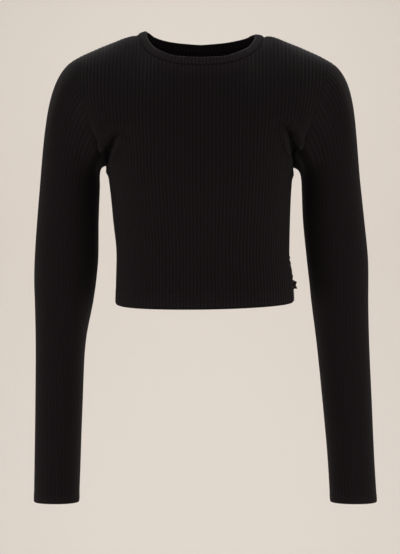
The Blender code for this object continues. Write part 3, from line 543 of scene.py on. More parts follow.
def body_cloth(panel):
    """A panel's surface: body sections up to the underarm (level 1), then a cubic up
    each column to the chest (2), and a second one over to the shoulder ridge (3),
    cut where it meets the neckline."""
    facing = FACING[panel]
    shares = np.linspace(-1, 1, 641)
    low = np.linspace(0, 1, 61)
    low_rows = lower_body(panel, shares, low)
    start = low_rows[-1]
    leave = unit(low_rows[-1] - low_rows[-4])
    half_width, square = MID["half_width"], MID["square"]
    points, run = section(half_width, half_width, MID[panel], square, facing, 1441)
    across = along(points, run, shares * MID_PER_SHARE)
    across[:, 2] = MID_Z
    top, neck, ridge_z = top_edge(panel, shares)

    lean = np.empty_like(start)
    lean[:, 0] = (top[:, 0] - start[:, 0]) * CHEST_LEAN[0]
    lean[:, 1:] = -facing * CHEST_LEAN[1], CHEST_LEAN[2]
    lean = unit(lean)
    distance = np.abs(top[:, 0])
    first = {"front": 1, "back": 3}[panel]
    pull_a, pull_b = (smooth(FULLNESS, first + k, distance)[:, None] for k in (0, 1))
    arrive = np.broadcast_to([0.0, -facing, 0.0], start.shape)

    # The columns under the neckline run towards a ridge that is moved until each passes
    # through its point of the neckline, and are cut there.
    ridge = top.copy()
    ridge[neck, 1:] = RIDGE_Y, ridge_z
    steps = np.linspace(0, 1, 401)[:, None, None]
    cut = np.ones(len(shares))
    which = np.flatnonzero(neck)
    fixed = across[which], lean[which]
    for _ in range(12):
        ends = ridge[which], arrive[which], steps, pull_a[which], pull_b[which]
        lines = bezier(*fixed, *ends)
        passed = np.argmin(np.abs(lines[:, :, 1] - top[which, 1]), axis=0)
        reached = lines[passed, np.arange(len(which)), 2]
        share = passed / 400
        cut[which] = share
        weight = (3 * share**2 * (1 - share) + share**3).clip(0.12)
        ridge[which, 2] += 0.8 * (top[which, 2] - reached) / weight
    missed = top - bezier(across, lean, ridge, arrive, cut[:, None], pull_a, pull_b)

    up, over = np.linspace(0, 1, 31)[1:], np.linspace(0, 1, 41)[1:]
    rows = [bezier(start, leave, across, lean, t, *RISE_PULLS) for t in up]
    rows += [
        bezier(across, lean, ridge, arrive, (t * cut)[:, None], pull_a, pull_b)
        + missed * neck[:, None] * t**2
        for t in over
    ]
    grid = np.concatenate([low_rows, np.array(rows)])
    levels = np.concatenate([low, 1 + up, 2 + over])
    grid = eased_below_neck_points(grid, levels, top[:, 0])
    room = (panel_reach(levels)[:, None] - np.abs(shares)).clip(0) * QUARTER
    column = {"front": 1, "back": 2}[panel]
    forward, reach = (smooth(SWELL, k, levels)[:, None] for k in (column, 3))
    grid[..., 1] += facing * forward * bell(room, reach)
    cloth = Cloth(shares, levels, grid, -facing)
    points = cloth.points - cloth.normals * fold_depth(cloth.points)[..., None]
    side_seam = levels <= 1
    points[side_seam, 0, 1] = points[side_seam, -1, 1] = 0.0
    for side, column in ((-1, 0), (1, -1)):
        away = np.linalg.norm(points - points[len(low) - 1, column], axis=-1)
        points[..., 2] -= UNDERARM_DROP[side] * bell(away, UNDERARM_REACH)
    return Cloth(shares, levels, points, -facing)


def panel_reach(level):
    """The share at which a panel ends at this level: the side seam, then the armhole."""
    lower = 1 - (1 - SCYE_SHARE) * np.clip(level - 1, 0, 1) ** SCYE_POWERS[0]
    upper = SCYE_SHARE + (TIP_SHARE - SCYE_SHARE) * np.clip(level - 2, 0, 1) ** SCYE_POWERS[1]
    return np.where(level <= 2, lower, upper)


# ---------------------------------------------------------------- armhole
def armhole(side, cloths):
    """The armhole's two halves from shoulder tip to underarm: points, the body's
    normals, share of the way and level."""
    levels = np.concatenate([np.linspace(3, 2, 41), np.linspace(2, 1, 51)[1:]])
    halves = {}
    for name, cloth in cloths.items():
        points, normals = cloth.at(side * panel_reach(levels), np.minimum(levels, 3 - LAST))
        run = run_of(points)
        halves[name] = (points, normals, run / run[-1], levels)
    return halves


def cap_way(share, side, forward):
    """Unit direction in which the sleeve leaves the seam; forward is -1 in front, 1 behind."""
    signs = enumerate((side, forward, -1))
    return unit(stacked(*(sign * smooth(CAP, 1 + k, share) for k, sign in signs)))


def seam_normals(side, halves):
    """At each armhole point, the direction shared by the body's wall and the sleeve's:
    the mean of the two outward normals."""
    found = {}
    for name, forward in FACING.items():
        points, normals, share, _ = halves[name]
        way = cap_way(share, side, forward)
        tangent = unit(np.gradient(points, axis=0))
        across = unit(np.cross(way, tangent))
        out = np.array([0, forward * 0.9, 0.25])
        flip = np.sign((across * out).sum(-1))
        flip[share < 0.12] = np.sign(across[share < 0.12, 2])
        mean = unit(normals + across * flip[:, None])
        tip = ease(share / 0.06)[:, None]
        mean = unit(mean * tip + np.array([side * TIP_OUT, 0, TIP_UP]) * (1 - tip))
        under = ease((1 - share) / 0.04)[:, None]
        found[name] = unit(mean * under + np.array([0, 0, -1.0]) * (1 - under))
    return found


# ---------------------------------------------------------------- sleeves
def sleeve_ring(side, z, count=361):
    """A sleeve's section at height z, a superellipse, with arc length from its outer
    side and half its girth."""
    middle_y, half_depth, outer, inner = row_at(SLEEVES, SLEEVE_COLUMNS[side], z)
    centre, half = (outer + inner) / 2, (outer - inner) / 2
    angle = np.linspace(-math.pi, math.pi, 2 * count + 1)
    power = 2 / SLEEVE_SQUARE
    cos, sin = np.cos(angle), np.sin(angle)
    points = stacked(
        side * (centre + half * signed_power(cos, power)),
        middle_y - half_depth * signed_power(sin, power),
        z,
    )
    run = run_of(points)
    return points, run - run[count], run[-1] / 2


def sleeve_cloth(name, halves, seams):
    """A sleeve's surface: a cubic from each armhole point to the first whole ring
    (level 0 to 1), then rings down to the cuff (8). Also the seam's directions."""
    side = SLEEVE_SIDE[name]
    shares = np.linspace(-1, 1, 481)
    first_z, last_z = SLEEVES[0, 0], SLEEVES[-1, 0]

    def ring(z):
        points, run, half = sleeve_ring(side, z)
        return along(points, run, shares * half), half

    first, half_top = ring(first_z)
    arrive = unit(ring(first_z - 0.004)[0] - first)

    place = np.abs(shares) - CAP_SHIFT * np.sin(2 * math.pi * np.abs(shares))
    start, seam_way, leave = (np.empty_like(first) for _ in range(3))
    for half_name, forward, mask in (("front", -1, shares >= 0), ("back", 1, shares < 0)):
        loop, _, where, _ = halves[half_name]
        start[mask] = along(loop, where, place[mask])
        seam_way[mask] = unit(along(seams[half_name], where, place[mask]))
        leave[mask] = cap_way(place[mask], side, forward)
    cap_levels = np.linspace(0, 1, 41)
    length = np.linalg.norm(first - start, axis=-1, keepdims=True)
    pull = np.interp(place, CAP_PULL[:, 0], CAP_PULL[:, 1])[:, None]
    p, q = start + leave * length * pull, first - arrive * length * CAP_ARRIVE
    cap = cubic(start, p, q, first, cap_levels[:, None, None])
    tube_levels = np.linspace(1, 8, 141)[1:]
    heights = first_z + (last_z - first_z) * (tube_levels - 1) / 7
    tube, halves_of = zip(*(ring(z) for z in heights))
    halves_of = np.concatenate([np.full(41, half_top), halves_of])
    levels = np.concatenate([cap_levels, tube_levels])
    cloth = Cloth(shares, levels, np.concatenate([cap, tube]), side)
    cloth.half = lambda level: np.interp(level, levels, halves_of)
    cloth.level_of = lambda up: 8 - 7 * up / (first_z - last_z)
    cloth.seam = lambda share: unit(along(seam_way, shares, share))
    cloth.leave = lambda share: unit(along(leave, shares, share))
    return cloth


# ---------------------------------------------------------------- knit walls
def rib_height(phase, height):
    """Rib profile across the cloth: a broad round top and a narrow groove, from the
    sine of the phase (one rib for each whole number)."""
    return height * (np.sin(math.pi * phase) ** 2) ** RIB_POWER


def rib_fade(distance, seam):
    """How much of a rib's height is left at this distance from a seam."""
    least, start, width = RIB_FADES[seam]
    return least + (1 - least) * ease((distance - start) / width)


def clipped_grid(columns, reach):
    """For each row, the columns held inside -reach and reach: their places, and for each
    the one vertex that stands for it, so that columns past the edge share the edge's."""
    places = np.clip(columns[None, :], -reach[:, None], reach[:, None])
    inside = np.abs(columns)[None, :] < reach[:, None] - LAST
    count = len(columns)
    first = np.maximum(np.argmax(inside, axis=1) - 1, 0)
    last = np.minimum(count - np.argmax(inside[:, ::-1], axis=1), count - 1)
    return places, np.clip(np.arange(count)[None, :], first[:, None], last[:, None])


def shell_faces(keep, offset, flipped):
    """Triangles over a grid of rows whose columns are merged as keep says; those that
    collapse are left out."""
    rows, count = keep.shape
    index = keep + np.arange(rows)[:, None] * count + offset
    a, b = index[:-1, :-1].ravel(), index[:-1, 1:].ravel()
    c, d = index[1:, 1:].ravel(), index[1:, :-1].ravel()
    faces = np.concatenate([stacked(a, b, c), stacked(a, c, d)])
    faces = faces[(faces != np.roll(faces, 1, axis=1)).all(axis=1)]
    return faces[:, ::-1] if flipped else faces


def rim_faces(keep, offset):
    """A shell's border: triangles between the outer grid's edges and the inner one's."""
    rows, count = keep.shape
    index = keep + np.arange(rows)[:, None] * count
    loop = np.concatenate([index[0, :-1], index[:-1, -1], index[-1, :0:-1], index[:0:-1, 0]])
    loop = loop[loop != np.roll(loop, -1)]
    after, below = np.roll(loop, -1), loop + offset
    sides = stacked(loop, below, after), stacked(after, below, after + offset)
    return np.concatenate(sides)


def make_mesh(name, points, faces, uv, material, outward, tone=None):
    """A mesh object at the origin from arrays of points, triangles, one UV for each point and, for
    cloth, its tone: the share by which its colour is made lighter or darker there, mostly painted light
    and shade."""
    corners = points[faces]
    volume = (corners[:, 0] * np.cross(corners[:, 1], corners[:, 2])).sum()
    if outward and volume < 0:
        faces = faces[:, ::-1]
    used, faces = np.unique(faces, return_inverse=True)
    faces = faces.reshape(-1, 3)
    points, uv = points[used], uv[used]
    tone = np.zeros(len(points)) if tone is None else tone[used]
    mesh = bpy.data.meshes.new(name)
    mesh.vertices.add(len(points))
    mesh.vertices.foreach_set("co", points.astype(np.float32).ravel())
    mesh.loops.add(faces.size)
    mesh.loops.foreach_set("vertex_index", faces.astype(np.int32).ravel())
    mesh.polygons.add(len(faces))
    mesh.polygons.foreach_set("loop_start", np.arange(0, faces.size, 3, dtype=np.int32))
    mesh.polygons.foreach_set("use_smooth", np.ones(len(faces), bool))
    layer = mesh.uv_layers.new(name="cloth_metres")
    layer.data.foreach_set("uv", uv[faces.ravel()].astype(np.float32).ravel())
    tones = mesh.attributes.new("cloth_tone", "FLOAT", "POINT")
    tones.data.foreach_set("value", tone.astype(np.float32))
    mesh.update(calc_edges=True)
    mesh.validate()
    mesh.materials.append(material)
    made = bpy.data.objects.new(name, mesh)
    bpy.context.scene.collection.objects.link(made)
    return made


def shell(name, outer, inner, keep, uv, material, tone=None):
    """A closed wall of cloth: outer and inner grids with the same columns, joined round their border.
    tone is the outer grid's; the inside gets its own, painted light."""
    size = outer.shape[0] * outer.shape[1]
    walls = [shell_faces(keep, 0, False), shell_faces(keep, size, True)]
    faces = np.concatenate([*walls, rim_faces(keep, size)])
    points = np.concatenate([outer.reshape(-1, 3), inner.reshape(-1, 3)])
    both = np.concatenate([uv.reshape(-1, 2)] * 2)
    # The inner wall is painted lighter: painted light.
    if tone is not None:
        tone = np.concatenate([tone.ravel(), np.full(size, INSIDE_PAINTED_LIGHT)])
    return make_mesh(name, points, faces, both, material, True, tone)


def cloth_walls(points, normals, lift, drawn, to_edge, turn, knit):
    """A wall's outer and inner grids: raised by lift and drawn in at its seams, thicker
    where its free edge is turned up, and rounded off at that edge."""
    thick = knit.wall + knit.turned * (1 - ease((to_edge - turn) / TURN_FADE + 0.5))
    radius = (knit.wall + knit.turned) / 2
    rounding = edge_round(to_edge, radius)
    raised = lift * ease(to_edge / (2.5 * radius)) - drawn - rounding
    return points + normals * raised[..., None], points - normals * (thick - rounding)[..., None]


def turn_lift(to_edge, turn, knit):
    """How far the cloth stands out over the layer that is turned up behind it."""
    return knit.turned * TURN_SHOWS * (1 - ease((to_edge - turn + 0.002) / 0.003))


def rows_from(points):
    """Distance along each column of a grid of points, from its first row."""
    step = np.linalg.norm(np.diff(points, axis=0), axis=-1)
    return np.concatenate([np.zeros((1, step.shape[1])), np.cumsum(step, axis=0)])


def edge_round(distance, radius):
    """How far a rounded edge falls away at this distance from its end: a quarter circle."""
    d = np.clip(distance / radius, 0, 1)
    return radius * (1 - np.sqrt(1 - (1 - d) ** 2))


def panel_levels(spacing):
    """The panel's rows: close together at the hem's rounded edge and at the top, even
    between."""
    low = np.linspace(EVEN_FROM / HEM_RISE, 1, round(0.19 / spacing))
    underarm = np.linspace(1, 1.14, 15)[1:]
    chest = np.linspace(1.14, 2, round(0.058 / spacing))[1:]
    top = np.linspace(2, 3 - 0.06, round(0.1 / spacing))[1:]
    last = 3 - np.array([0.042, 0.028, 0.016, 0.007, 0.0])
    return np.concatenate([EDGE_ROWS / HEM_RISE, low, underarm, chest, top, last])


def stitch_sink(distance, lines):
    """How strongly the ribs are pressed flat beside rows of stitches, 0 to 1."""
    return sum(bell(distance - line, SINK_WIDTH) for line in lines).clip(0, 1)


def panel_shell(name, cloth, seams, knit, material):
    """A front or back panel: ribs raised on its surface, pressed flat at the stitching
    and drawn in at every seam, over a plain inside that is thicker where the hem turns."""
    columns = np.linspace(-1, 1, BODY_RIBS * knit.columns_per_rib + 1)
    columns[[0, -1]] *= 1.01
    for side, tip in TIP_X.items():
        share = side * NECK_X * TIP_SHARE / tip
        columns[np.argmin(np.abs(columns - share))] = share
    levels = panel_levels(knit.row_spacing)
    reach = panel_reach(levels) + SEAM_LAP / 2 / QUARTER
    share, keep = clipped_grid(columns, reach)
    points, normals = cloth.at(share, np.minimum(levels, 3 - LAST)[:, None])

    # The last row: on the neckline, or on the shoulder seam.
    x = top_x(share[-1])
    neck = np.abs(x) < NECK_X + LAST
    turns = neck_angle(x[neck], name) * np.sign(x[neck] + 1e-12)
    seam, fall = neck_seam(turns)
    points[-1, neck] = seam - fall * SEAM_LAP / 2
    normals[-1, neck] = neck_normal(turns)
    no_y = np.array([1.0, 0.0, 1.0])
    normals[-1, ~neck] = unit(normals[-1, ~neck] * no_y)
    points[-1, :, 1] -= FACING[name] * SEAM_LAP / 2

    # Near a side edge the wall turns to the direction that it shares with its neighbour.
    to_side = (reach[:, None] - np.abs(share)) * QUARTER
    for side, (directions, places) in seams.items():
        across = unit(normals[:, 0 if side < 0 else -1] * no_y)
        shared = unit(along(directions, -places, -levels))
        shared = np.where((levels < 1)[:, None], across, shared)[:, None]
        weight = ((1 - ease(to_side / 0.007)) * (np.sign(share) == side))[..., None]
        normals = unit(normals * (1 - weight) + shared * weight)

    to_hem = rows_from(points)
    to_top = to_hem[-1] - to_hem
    from_middle = np.abs(top_x(share))
    phase = (share + 1) * BODY_RIBS / 2
    pressed = np.maximum(
        stitch_sink(to_hem, hem_lines(knit)),
        stitch_sink(to_top, (knit.neck_stitch,)) * (from_middle < NECK_X - 0.003),
    )
    lift = rib_height(phase, knit.rib_height)
    lift *= 1 - PRESSED * pressed
    lift *= rib_fade(to_side, "side")
    lift *= rib_fade(to_top, "top")
    lift += turn_lift(to_hem, knit.hem_turn, knit)
    neckline = (from_middle < NECK_X - 0.002).astype(float)
    at_neck = bell(to_top, NECK_GROOVE_WIDTH)
    drawn = knit.seam_draw * (bell(to_side, SIDE_SEAM) + bell(to_top, TOP_SEAM))
    drawn += neckline * knit.neck_groove * at_neck

    # A lighter strip below the neck seam, away from its ends.
    under_neck = ease((NECK_X - from_middle) / UNDER_NECK_SPAN)
    under_neck = under_neck * (1 - ease((to_top - UNDER_NECK_FROM) / UNDER_NECK_FADE))
    # Painted shade in the neck seam's groove, over the lighter strip below it.
    tone = neckline * (UNDER_NECK_TONE * under_neck + NECK_GROOVE_SHADE * at_neck)
    # Painted light over the hem's turned layer.
    tone += HEM_PAINTED_LIGHT * (1 - ease(to_hem / (knit.hem_turn + 0.002)))
    # A painted highlight just above the hem's edge.
    tone += HEM_HIGHLIGHT[0] * bell(to_hem - HEM_HIGHLIGHT[1], HEM_HIGHLIGHT[2])
    # Painted shade at the hem's edge.
    tone += shade(to_hem, HEM_EDGE_SHADE)
    # Painted shade along the armhole and in the armpit's corner.
    tone += shade(to_side, ARMHOLE_SHADE) * ease((levels - 1.1) / 0.2)[:, None]
    tone += shade(to_side, ARMPIT_SHADE) * bell(levels - 1.05, 0.16)[:, None]
    walls = cloth_walls(points, normals, lift, drawn, to_hem, knit.hem_turn, knit)
    uv = stacked(phase * RIB_UV, to_hem)
    return shell(name + "_panel", *walls, keep, uv, material, tone)


def sleeve_shell(name, cloth, knit, material):
    """A sleeve: ribs at one spacing from its outer line, cut off by the underarm seam."""
    ribs = math.ceil(float(cloth.half(1.0)) / SLEEVE_PITCH) + 1
    grain = np.linspace(-ribs, ribs, 2 * ribs * knit.columns_per_rib + 1) * SLEEVE_PITCH
    cap = np.concatenate([[0, 0.006, 0.014, 0.026, 0.045], np.linspace(0.07, 1, 26)])
    rows = round(0.43 / (knit.row_spacing * 1.15))
    tube = np.linspace(1, cloth.level_of(EVEN_FROM), rows)[1:]
    levels = np.concatenate([cap, tube, cloth.level_of(EDGE_ROWS[::-1])])
    half = cloth.half(levels)
    reach = half + SEAM_LAP / 2
    place, keep = clipped_grid(grain, reach)
    share = place / half[:, None]
    points, normals = cloth.at(share, np.minimum(levels, 8 - LAST)[:, None])
    weight = (1 - ease(levels / 0.16))[:, None, None]
    normals = unit(normals * (1 - weight) + cloth.seam(share) * weight)
    normals[0] = cloth.seam(share[0])
    points[0] -= cloth.leave(share[0]) * SEAM_LAP

    down = rows_from(points)
    to_cuff = down[-1] - down
    to_side = reach[:, None] - np.abs(place)
    phase = place / SLEEVE_PITCH + 0.5
    lift = rib_height(phase, knit.sleeve_rib)
    lift *= 1 - PRESSED * stitch_sink(to_cuff, CUFF_ROWS)
    lift *= rib_fade(to_side, "side")
    lift *= rib_fade(down, "cap")
    lift += turn_lift(to_cuff, knit.cuff_turn, knit)
    drawn = knit.seam_draw * (bell(to_side, SIDE_SEAM) + bell(down, SET_SEAM))
    walls = cloth_walls(points, normals, lift, drawn, to_cuff, knit.cuff_turn, knit)
    uv = stacked(phase * RIB_UV, down)
    # Painted light over the cuff's turned layer.
    tone = CUFF_PAINTED_LIGHT * (1 - ease(to_cuff / (knit.cuff_turn + 0.006)))
    # Painted shade at the cuff's edge and along the armhole seam.
    tone += shade(to_cuff, CUFF_EDGE_SHADE) + shade(down, CAP_SEAM_SHADE)
    return shell(name, *walls, keep, uv, material, tone)


def band_shell(knit, material):
    """The neckband: a flat doubled strip carried round the neckline, bulging a little
    between its seam and its folded top edge, with low ribs across it."""
    turns = np.linspace(-180, 180, 1441)
    run = run_of(neck_seam(turns)[0])
    count = round(run[-1] / knit.band_pitch)
    columns = np.linspace(0, run[-1], count * knit.columns_per_rib + 1)
    degrees = np.interp(columns, run, turns)
    low, fall = neck_seam(degrees)
    edge, _ = neck_ring(degrees)
    normal = neck_normal(np.clip(degrees, -179.4, 179.4))
    low, fall, edge, normal = (
        np.concatenate([part[1:-1], part[1:3]]) for part in (low, fall, edge, normal)
    )
    low = low + fall * SEAM_LAP
    up = np.concatenate([np.linspace(0, 0.86, 12), [0.9, 0.935, 0.962, 0.982, 0.994, 1.0]])
    to_edge = (1 - up) * BAND
    rise = up[:, None, None]
    middle = low * (1 - rise) + edge * rise
    swell = BAND_SWELL * np.sin(math.pi * up) ** 0.8
    phase = np.arange(len(low)) / knit.columns_per_rib
    rib = rib_height(phase, knit.band_rib)[None, :]
    rib = rib * (ease(up / 0.12) * ease(to_edge / 0.002))[:, None]
    rounding = edge_round(to_edge, BAND_WALL / 2)
    near_seam = bell(up * BAND, SET_SEAM)
    drawn = (knit.seam_draw + knit.neck_groove) * near_seam
    # Painted shade in the groove along the band's seam.
    tone = np.broadcast_to((BAND_SEAM_SHADE * near_seam)[:, None], rib.shape)
    lift = swell[:, None] + rib - rounding[:, None] - drawn[:, None]
    thick = knit.wall + (BAND_WALL - knit.wall) * ease(up / 0.4)
    outer = middle + normal[None] * lift[..., None]
    inner = middle - normal[None] * (thick - swell - rounding)[:, None, None]
    keep = np.broadcast_to(np.arange(len(low))[None], rib.shape)
    uv = stacked(phase * RIB_UV, (up * BAND)[:, None])
    return shell("neckband_strip", outer, inner, keep, uv, material, tone)


def tab_shell(cloth, material):
    """The side tab: a flat strip out of the side seam whose free end has a shallow notch,
    with a slight curl."""
    height = np.linspace(TAB_EDGE[0, 0], TAB_EDGE[-1, 0], 27)
    reach = np.interp(height, TAB_EDGE[:, 0], TAB_EDGE[:, 1])[:, None]
    z = TAB_MIDDLE_Z + height
    seam_x = cloth.at(1.0, (z - HEM_Z) / HEM_RISE)[0][:, :1]
    out = np.linspace(0, 1, 11)
    grid = stacked(
        seam_x - TAB_LAP + out * (reach + TAB_LAP),
        TAB_CURL * np.sin(3.0 * out) * np.cos(height / 0.004)[:, None],
        z[:, None],
    )
    thin = stacked(0.0, TAB_HALF_WALL * (1 - 0.6 * out**6), 0.0)
    keep = np.broadcast_to(np.arange(len(out))[None], grid.shape[:2])
    return shell("side_tab_ribbon", grid - thin, grid + thin, keep, grid[..., [0, 2]], material)


# ---------------------------------------------------------------- stitches
def stitches(name, points, normals, thread, material, tone=0.0):
    """A row of stitches along a line on the cloth: each is a short round thread that
    rises out of the cloth and dips back into it, its height half a sine along its length."""
    pitch, thickness = thread
    run = run_of(points)
    count = max(1, int(run[-1] / pitch))
    middles = (np.arange(count) + 0.5) * run[-1] / count
    t = np.linspace(-0.5, 0.5, 7)
    at = middles[:, None] + t[None] * pitch * 0.86
    path, normal = along(points, run, at), unit(along(normals, run, at))
    across = np.cross(normal, unit(np.gradient(path, axis=1)))
    radius = thickness / 2
    height = radius * (2.0 * np.cos(math.pi * t) - 0.7)
    girth = radius * np.sqrt(np.clip(1 - (2 * t) ** 6, 0.05, 1))
    angle = np.linspace(0, 2 * math.pi, 7)[:-1][:, None]
    ring = across[:, :, None] * np.cos(angle) + normal[:, :, None] * np.sin(angle)
    body = (path + normal * height[:, None])[:, :, None] + ring * girth[:, None, None]

    stations, sides = len(t), len(angle)
    first = np.arange(count)[:, None] * stations * sides
    base = (first + np.arange(stations - 1) * sides)[..., None]
    k = np.arange(sides)
    a, b = base + k, base + (k + 1) % sides
    c, d = b + sides, a + sides
    last = first + (stations - 1) * sides
    fan = np.arange(1, sides - 1)[None]
    faces = [
        stacked(a, b, c),
        stacked(a, c, d),
        stacked(first, first + fan + 1, first + fan),
        stacked(last, last + fan, last + fan + 1),
    ]
    faces = np.concatenate([f.reshape(-1, 3) for f in faces])
    flat = body.reshape(-1, 3)
    uv = np.zeros((len(flat), 2))
    uv[:, 0] = np.repeat(at.ravel(), sides)
    return make_mesh(name, flat, faces, uv, material, True, np.full(len(flat), tone))


def sew(name, rows, thread, material, tones=0.0):
    """One object from rows of stitches, each with its tone."""
    tones = np.broadcast_to(tones, len(rows))
    made = [stitches(name, *row, thread, material, tone) for row, tone in zip(rows, tones)]
    with bpy.context.temp_override(active_object=made[0], selected_editable_objects=made):
        bpy.ops.object.join()
    made[0].name = made[0].data.name = name
    return made[0]


def raised(line, height):
    """A line read from the cloth, moved out along its normals."""
    points, normals = line
    return points + normals * height, normals


def hem_lines(knit):
    """Heights of the hem's two rows of stitches above its edge."""
    return [knit.hem_turn - below for below in HEM_ROWS]


def turned_rows(shapes, knit):
    """The rows of stitches over the turned layer, at the hem and at the cuffs. A row at
    the hem finds its height above the edge in three corrections of its level."""
    share = np.linspace(-1, 1, 900)
    height = knit.rib_height * 0.3 + knit.turned * 0.3
    hem, cuffs = [], []
    for cloth in shapes.made.values():
        bottom = cloth.at(share, 0.0)[0]
        for line in hem_lines(knit):
            level = np.full(len(share), line / HEM_RISE)
            for _ in range(3):
                up = np.linalg.norm(cloth.at(share, level)[0] - bottom, axis=1)
                level += (line - up) / HEM_RISE
            hem.append(raised(cloth.at(share * SEWN_SHARE, level), height))
    for cloth in shapes.sleeves.values():
        for line in CUFF_ROWS:
            row = cloth.at(share * SEWN_SHARE, cloth.level_of(line))
            cuffs.append(raised(row, height))
    return hem, cuffs


def neck_rows(shapes, knit):
    """The row of stitches at one distance below the neckline, on both panels."""
    end = NECK_X - 0.004
    x = np.linspace(-end, end, 500)
    share = x * TIP_SHARE / np.where(x < 0, TIP_X[-1], TIP_X[1])
    level = np.linspace(2.5, 3 - 1e-6, 60)
    rows = []
    for cloth in shapes.made.values():
        columns = cloth.at(share[None], level[:, None])[0]
        below = rows_from(columns[::-1])[::-1]
        near = np.argmin(np.abs(below - knit.neck_stitch), axis=0)
        rows.append(raised(cloth.at(share, level[near]), knit.rib_height * 0.3))
    return rows


def serged_rows(shapes, knit):
    """The overlock beside the tab: threads in from the side seam, painted light and dark in turn as
    highlight and shade, and two ridges along it above them. Gives the rows and their tones."""
    rows, tones = [], []
    inward = np.linspace(*SERGED_REACH)
    high = (np.linspace(*SEAM_RIDGE_Z, 40) - HEM_Z) / HEM_RISE
    for cloth in shapes.made.values():
        for number, drop in enumerate(np.linspace(*SERGED)):
            level = (TAB_MIDDLE_Z - drop - HEM_Z + SERGED_SLOPE * inward) / HEM_RISE
            row = cloth.at(1 - inward / QUARTER, level)
            rows.append(raised(row, knit.rib_height * 0.7))
            # Painted highlight and painted shade, loop by loop.
            tones.append(SERGING_HIGHLIGHT_SHADE[number % 2])
        # Painted shade along the seam's edge and a painted highlight on the ridge beside it.
        for line, tone in SEAM_RIDGES:
            row = cloth.at(1 - line / QUARTER, high)
            rows.append(raised(row, knit.rib_height * 0.5))
            tones.append(tone)
    return rows, tones


# ---------------------------------------------------------------- materials
def new_group(name, inputs, outputs):
    """A node group with named sockets, and its two end nodes."""
    group = bpy.data.node_groups.new(name, "ShaderNodeTree")
    for label, kind, value in inputs:
        socket = group.interface.new_socket(label, in_out="INPUT", socket_type=kind)
        if value is not None:
            socket.default_value = value
    for label, kind in outputs:
        group.interface.new_socket(label, in_out="OUTPUT", socket_type=kind)
    return group, group.nodes.new("NodeGroupInput"), group.nodes.new("NodeGroupOutput")


def math_node(tree, operation, *values):
    """The result of one operation on numbers and sockets."""
    node = tree.nodes.new("ShaderNodeMath")
    node.operation = operation
    for socket, value in zip(node.inputs, values):
        if isinstance(value, (int, float)):
            socket.default_value = value
        else:
            tree.links.new(value, socket)
    return node.outputs[0]


def set_inputs(node, values):
    """Sets a node's sockets by name."""
    for label, value in values.items():
        node.inputs[label].default_value = value


def noise_from(tree, vector, scale, detail):
    """Noise by place, as a value around a half."""
    noise = tree.nodes.new("ShaderNodeTexNoise")
    set_inputs(noise, {"Scale": scale, "Detail": detail})
    tree.links.new(vector, noise.inputs["Vector"])
    return noise.outputs["Fac"]


def knit_group():
    """Knit stitches by cloth metres: columns of V-shaped loops, as a height and a mask for painted
    shade in the gaps between loops, with a finer fuzz."""
    inputs = [
        ("Cloth", "NodeSocketVector", None),
        ("Wale", "NodeSocketFloat", 0.00125),
        ("Course", "NodeSocketFloat", 0.0011),
    ]
    outputs = [("Height", "NodeSocketFloat"), ("Shade", "NodeSocketFloat")]
    group, given, out = new_group("knit_loops", inputs, outputs)

    def maths(operation, *values):
        return math_node(group, operation, *values)

    split = group.nodes.new("ShaderNodeSeparateXYZ")
    group.links.new(given.outputs["Cloth"], split.inputs[0])
    across = maths("DIVIDE", split.outputs[0], given.outputs["Wale"])
    up = maths("DIVIDE", split.outputs[1], given.outputs["Course"])
    side = maths("ABSOLUTE", maths("SUBTRACT", maths("FRACT", across), 0.5))
    slanted = maths("ADD", up, maths("MULTIPLY", side, 1.3))
    loop = maths("ABSOLUTE", maths("SINE", maths("MULTIPLY", slanted, math.pi)))
    valley = maths("SUBTRACT", 1.0, maths("POWER", maths("MULTIPLY", side, 2.0), 3.0))
    height = maths("MULTIPLY", maths("ADD", maths("MULTIPLY", loop, 0.6), 0.4), valley)
    fuzz = maths("MULTIPLY", noise_from(group, given.outputs["Cloth"], 1400.0, 2.0), 0.5)
    group.links.new(maths("ADD", height, fuzz), out.inputs["Height"])
    group.links.new(height, out.inputs["Shade"])
    return group


def groove_shade_group():
    """A mask for painted shade: 0 in the groove between two ribs and 1 on a rib's top, from the cloth
    map."""
    inputs = [("Cloth", "NodeSocketVector", None), ("Pitch", "NodeSocketFloat", RIB_UV)]
    group, given, out = new_group("rib_grooves", inputs, [("Mask", "NodeSocketFloat")])
    split = group.nodes.new("ShaderNodeSeparateXYZ")
    group.links.new(given.outputs["Cloth"], split.inputs[0])
    ribs = math_node(group, "DIVIDE", split.outputs[0], given.outputs["Pitch"])
    wave = math_node(group, "SINE", math_node(group, "MULTIPLY", ribs, math.pi))
    mask = math_node(group, "POWER", math_node(group, "ABSOLUTE", wave), 0.7)
    group.links.new(mask, out.inputs["Mask"])
    return group


def dye_group():
    """Broad unevenness of the dye by place on the garment, as one mask around a half."""
    inputs = [("Place", "NodeSocketVector", None)]
    group, given, out = new_group("dye_unevenness", inputs, [("Mask", "NodeSocketFloat")])
    group.links.new(noise_from(group, given.outputs["Place"], 9.0, 3.0), out.inputs["Mask"])
    return group


def mix_colour(tree, factor, a, b):
    """A colour between a and b, each a colour or a socket."""
    node = tree.nodes.new("ShaderNodeMix")
    node.data_type = "RGBA"
    tree.links.new(factor, node.inputs["Factor"])
    for socket, value in ((node.inputs[6], a), (node.inputs[7], b)):
        if hasattr(value, "links"):
            tree.links.new(value, socket)
        else:
            socket.default_value = value
    return node.outputs[2]


def use_group(tree, name, build, source):
    """A node that runs a shared group, made on its first use, on a vector."""
    node = tree.nodes.new("ShaderNodeGroup")
    node.node_tree = bpy.data.node_groups.get(name) or build()
    tree.links.new(source, node.inputs[0])
    return node


